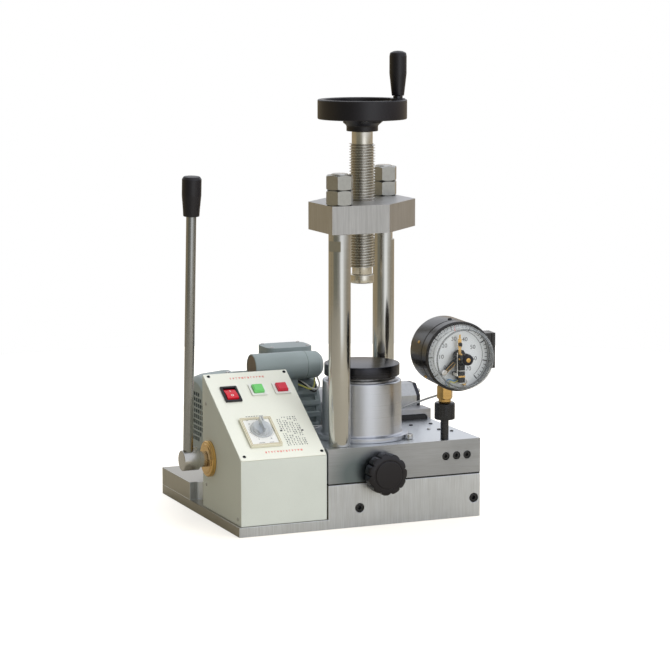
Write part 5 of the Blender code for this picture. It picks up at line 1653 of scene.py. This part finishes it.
CAMERA_PLACE = Vector((-1.454, -3.334, 0.798))
CAMERA_YAW, CAMERA_PITCH = math.radians(22.94), math.radians(8.31)
CAMERA_LENS = 134.5
WHITE = 1.0


def make_camera():
    data = bpy.data.cameras.new("camera")
    data.lens = CAMERA_LENS
    data.sensor_width = 36
    camera = bpy.data.objects.new("camera", data)
    bpy.context.scene.collection.objects.link(camera)
    level = math.cos(CAMERA_PITCH)
    forward = Vector((math.sin(CAMERA_YAW) * level, math.cos(CAMERA_YAW) * level, -math.sin(CAMERA_PITCH)))
    camera.location = CAMERA_PLACE
    camera.rotation_euler = forward.to_track_quat("-Z", "Y").to_euler()
    bpy.context.scene.camera = camera
    bpy.context.scene.view_settings.view_transform = "Standard"


def softbox(name, place, target, size, power, colour=(1, 1, 1)):
    data = bpy.data.lights.new(name, "AREA")
    data.shape = "RECTANGLE"
    data.size, data.size_y = size
    data.energy = power
    data.color = colour
    light = bpy.data.objects.new(name, data)
    bpy.context.scene.collection.objects.link(light)
    light.location = place
    light.rotation_euler = (Vector(target) - Vector(place)).to_track_quat("-Z", "Y").to_euler()
    light.visible_camera = False
    light.visible_glossy = False


def make_lights():
    softbox("key", (0.75, -2.2, 1.1), (0, 0, 0.3), (1.5, 2.4), 29, (0.975, 0.985, 1))
    softbox("top", (0.7, -0.2, 2.3), (0, 0.1, 0.2), (1.8, 2.2), 23, (0.98, 0.99, 1))
    softbox("fill", (-2.4, -0.9, 1.0), (0, 0, 0.3), (1.6, 2.0), 1.5, (1, 0.9, 0.74))


CAMERA_SIDE = Vector((-math.sin(CAMERA_YAW), -math.cos(CAMERA_YAW), 0))
CAMERA_RIGHT = Vector((math.cos(CAMERA_YAW), -math.sin(CAMERA_YAW), 0))
TAN, SHADE_GREY, SKY = (0.4, 0.325, 0.205), (0.19, 0.19, 0.155), (0.88, 0.9, 0.95)
DIM_SKY, FLOOR_GLOW, FLOOR_PAINT = (0.3, 0.275, 0.2), (0.4, 0.37, 0.31), (0.46, 0.42, 0.34)
SKY_FADE, HORIZON_FADE, FLOOR_FADE = (-0.75, -0.1), (0.04, 0.18), (-0.7, -0.3)
FLOOR_RADIUS, FLOOR_DROP, FLOOR_NEAR_WHITE, SHADOW_FADE = 1.7, 0.0003, 0.66, (0.26, 0.42)
# What the metal mirrors, by the angle to the right of the camera's side, in degrees.
ROOM = (
    (-180, TAN),
    (-80, TAN),
    (-56, SHADE_GREY),
    (-30, SHADE_GREY),
    (-4, (0.36, 0.36, 0.34)),
    (16, (1.25, 1.27, 1.28)),
    (30, (1.2, 1.22, 1.22)),
    (50, (0.62, 0.61, 0.57)),
    (78, (0.38, 0.345, 0.28)),
    (180, (0.5, 0.4, 0.28)),
)


def make_world():
    """A white backdrop. The metal mirrors tan behind, grey to the left and a pale glow in front."""
    world = bpy.data.worlds.new("studio")
    world.use_nodes = True
    bpy.context.scene.world = world
    tree = world.node_tree
    tree.nodes.clear()
    direction = shade(tree, "TexCoord").outputs["Generated"]
    parts = [
        shade(tree, "VectorMath", {0: direction, 1: side}, operation="DOT_PRODUCT").outputs["Value"]
        for side in (CAMERA_RIGHT, CAMERA_SIDE)
    ]
    turn = shade(tree, "Math", {0: parts[0], 1: parts[1]}, operation="ARCTAN2").outputs[0]
    ramp = shade(tree, "ValToRGB", {0: spread(tree, turn, 0, 1, -math.pi, math.pi)})
    stops = ramp.color_ramp.elements
    for place, (angle, colour) in enumerate(ROOM):
        stop = stops[place] if place < 2 else stops.new(angle / 360 + 0.5)
        stop.position = angle / 360 + 0.5
        stop.color = (*colour, 1)
    height = shade(tree, "SeparateXYZ", {0: direction}).outputs[2]
    aside = shade(tree, "SeparateXYZ", {0: direction}).outputs[0]
    sky = blend(tree, spread(tree, aside, 0, 1, *SKY_FADE), DIM_SKY, SKY)
    air = blend(tree, spread(tree, height, 0, 1, *HORIZON_FADE), ramp.outputs[0], sky)
    room = blend(tree, spread(tree, height, 0, 1, *FLOOR_FADE), FLOOR_GLOW, air)
    lit = shade(tree, "Background", {"Color": room, "Strength": 1.0})
    white = shade(tree, "Background", {"Color": (1, 1, 1, 1), "Strength": WHITE})
    seen = shade(tree, "LightPath").outputs["Is Camera Ray"]
    mixed = shade(tree, "MixShader", {0: seen, 1: lit.outputs[0], 2: white.outputs[0]})
    output = shade(tree, "OutputWorld")
    tree.links.new(mixed.outputs[0], output.inputs["Surface"])


def make_floor():
    """A pale round floor that keeps a faint shadow at the base and fades into the backdrop."""
    work = bmesh.new()
    bmesh.ops.create_circle(work, cap_ends=True, segments=96, radius=FLOOR_RADIUS)
    mesh = finish_mesh(work, "floor")
    floor = bpy.data.objects.new("floor", mesh)
    bpy.context.scene.collection.objects.link(floor)
    floor.location.z = -FLOOR_DROP
    material = bpy.data.materials.new("pale_floor")
    material.use_nodes = True
    tree = material.node_tree
    tree.nodes.clear()
    place = shade(tree, "TexCoord").outputs["Object"]
    far = shade(tree, "VectorMath", {0: place}, operation="LENGTH").outputs["Value"]
    glow = spread(tree, far, FLOOR_NEAR_WHITE, WHITE, *SHADOW_FADE)
    seen = shade(tree, "LightPath").outputs["Is Camera Ray"]
    strength = shade(tree, "Math", {0: glow, 1: seen}, operation="MULTIPLY").outputs[0]
    matt = shade(tree, "BsdfDiffuse", {"Color": (*FLOOR_PAINT, 1)})
    light = shade(tree, "Emission", {"Color": (1, 1, 1, 1), "Strength": strength})
    both = shade(tree, "AddShader", {0: matt.outputs[0], 1: light.outputs[0]})
    output = shade(tree, "OutputMaterial")
    tree.links.new(both.outputs[0], output.inputs["Surface"])
    mesh.materials.append(material)


make_camera()
make_lights()
make_world()
make_floor()
make_base()
make_block()
make_columns()
make_crosshead()
make_cylinder()
make_ram()
make_screw()
make_handwheel()
make_control_box()
make_power_switch()
make_buttons()
make_timer()
make_lever()
make_hand_pump()
make_release_knob()
make_fan_cover()
make_motor_frame()
make_motor_foot()
make_terminal_box()
make_capacitor()
make_pump()
make_rear_block()
make_gauge_case()
make_gauge_window()
make_gauge_dial()
make_gauge_hands()
make_gauge_contacts()
make_gauge_terminal_box()
make_gauge_post()
make_gauge_lead()
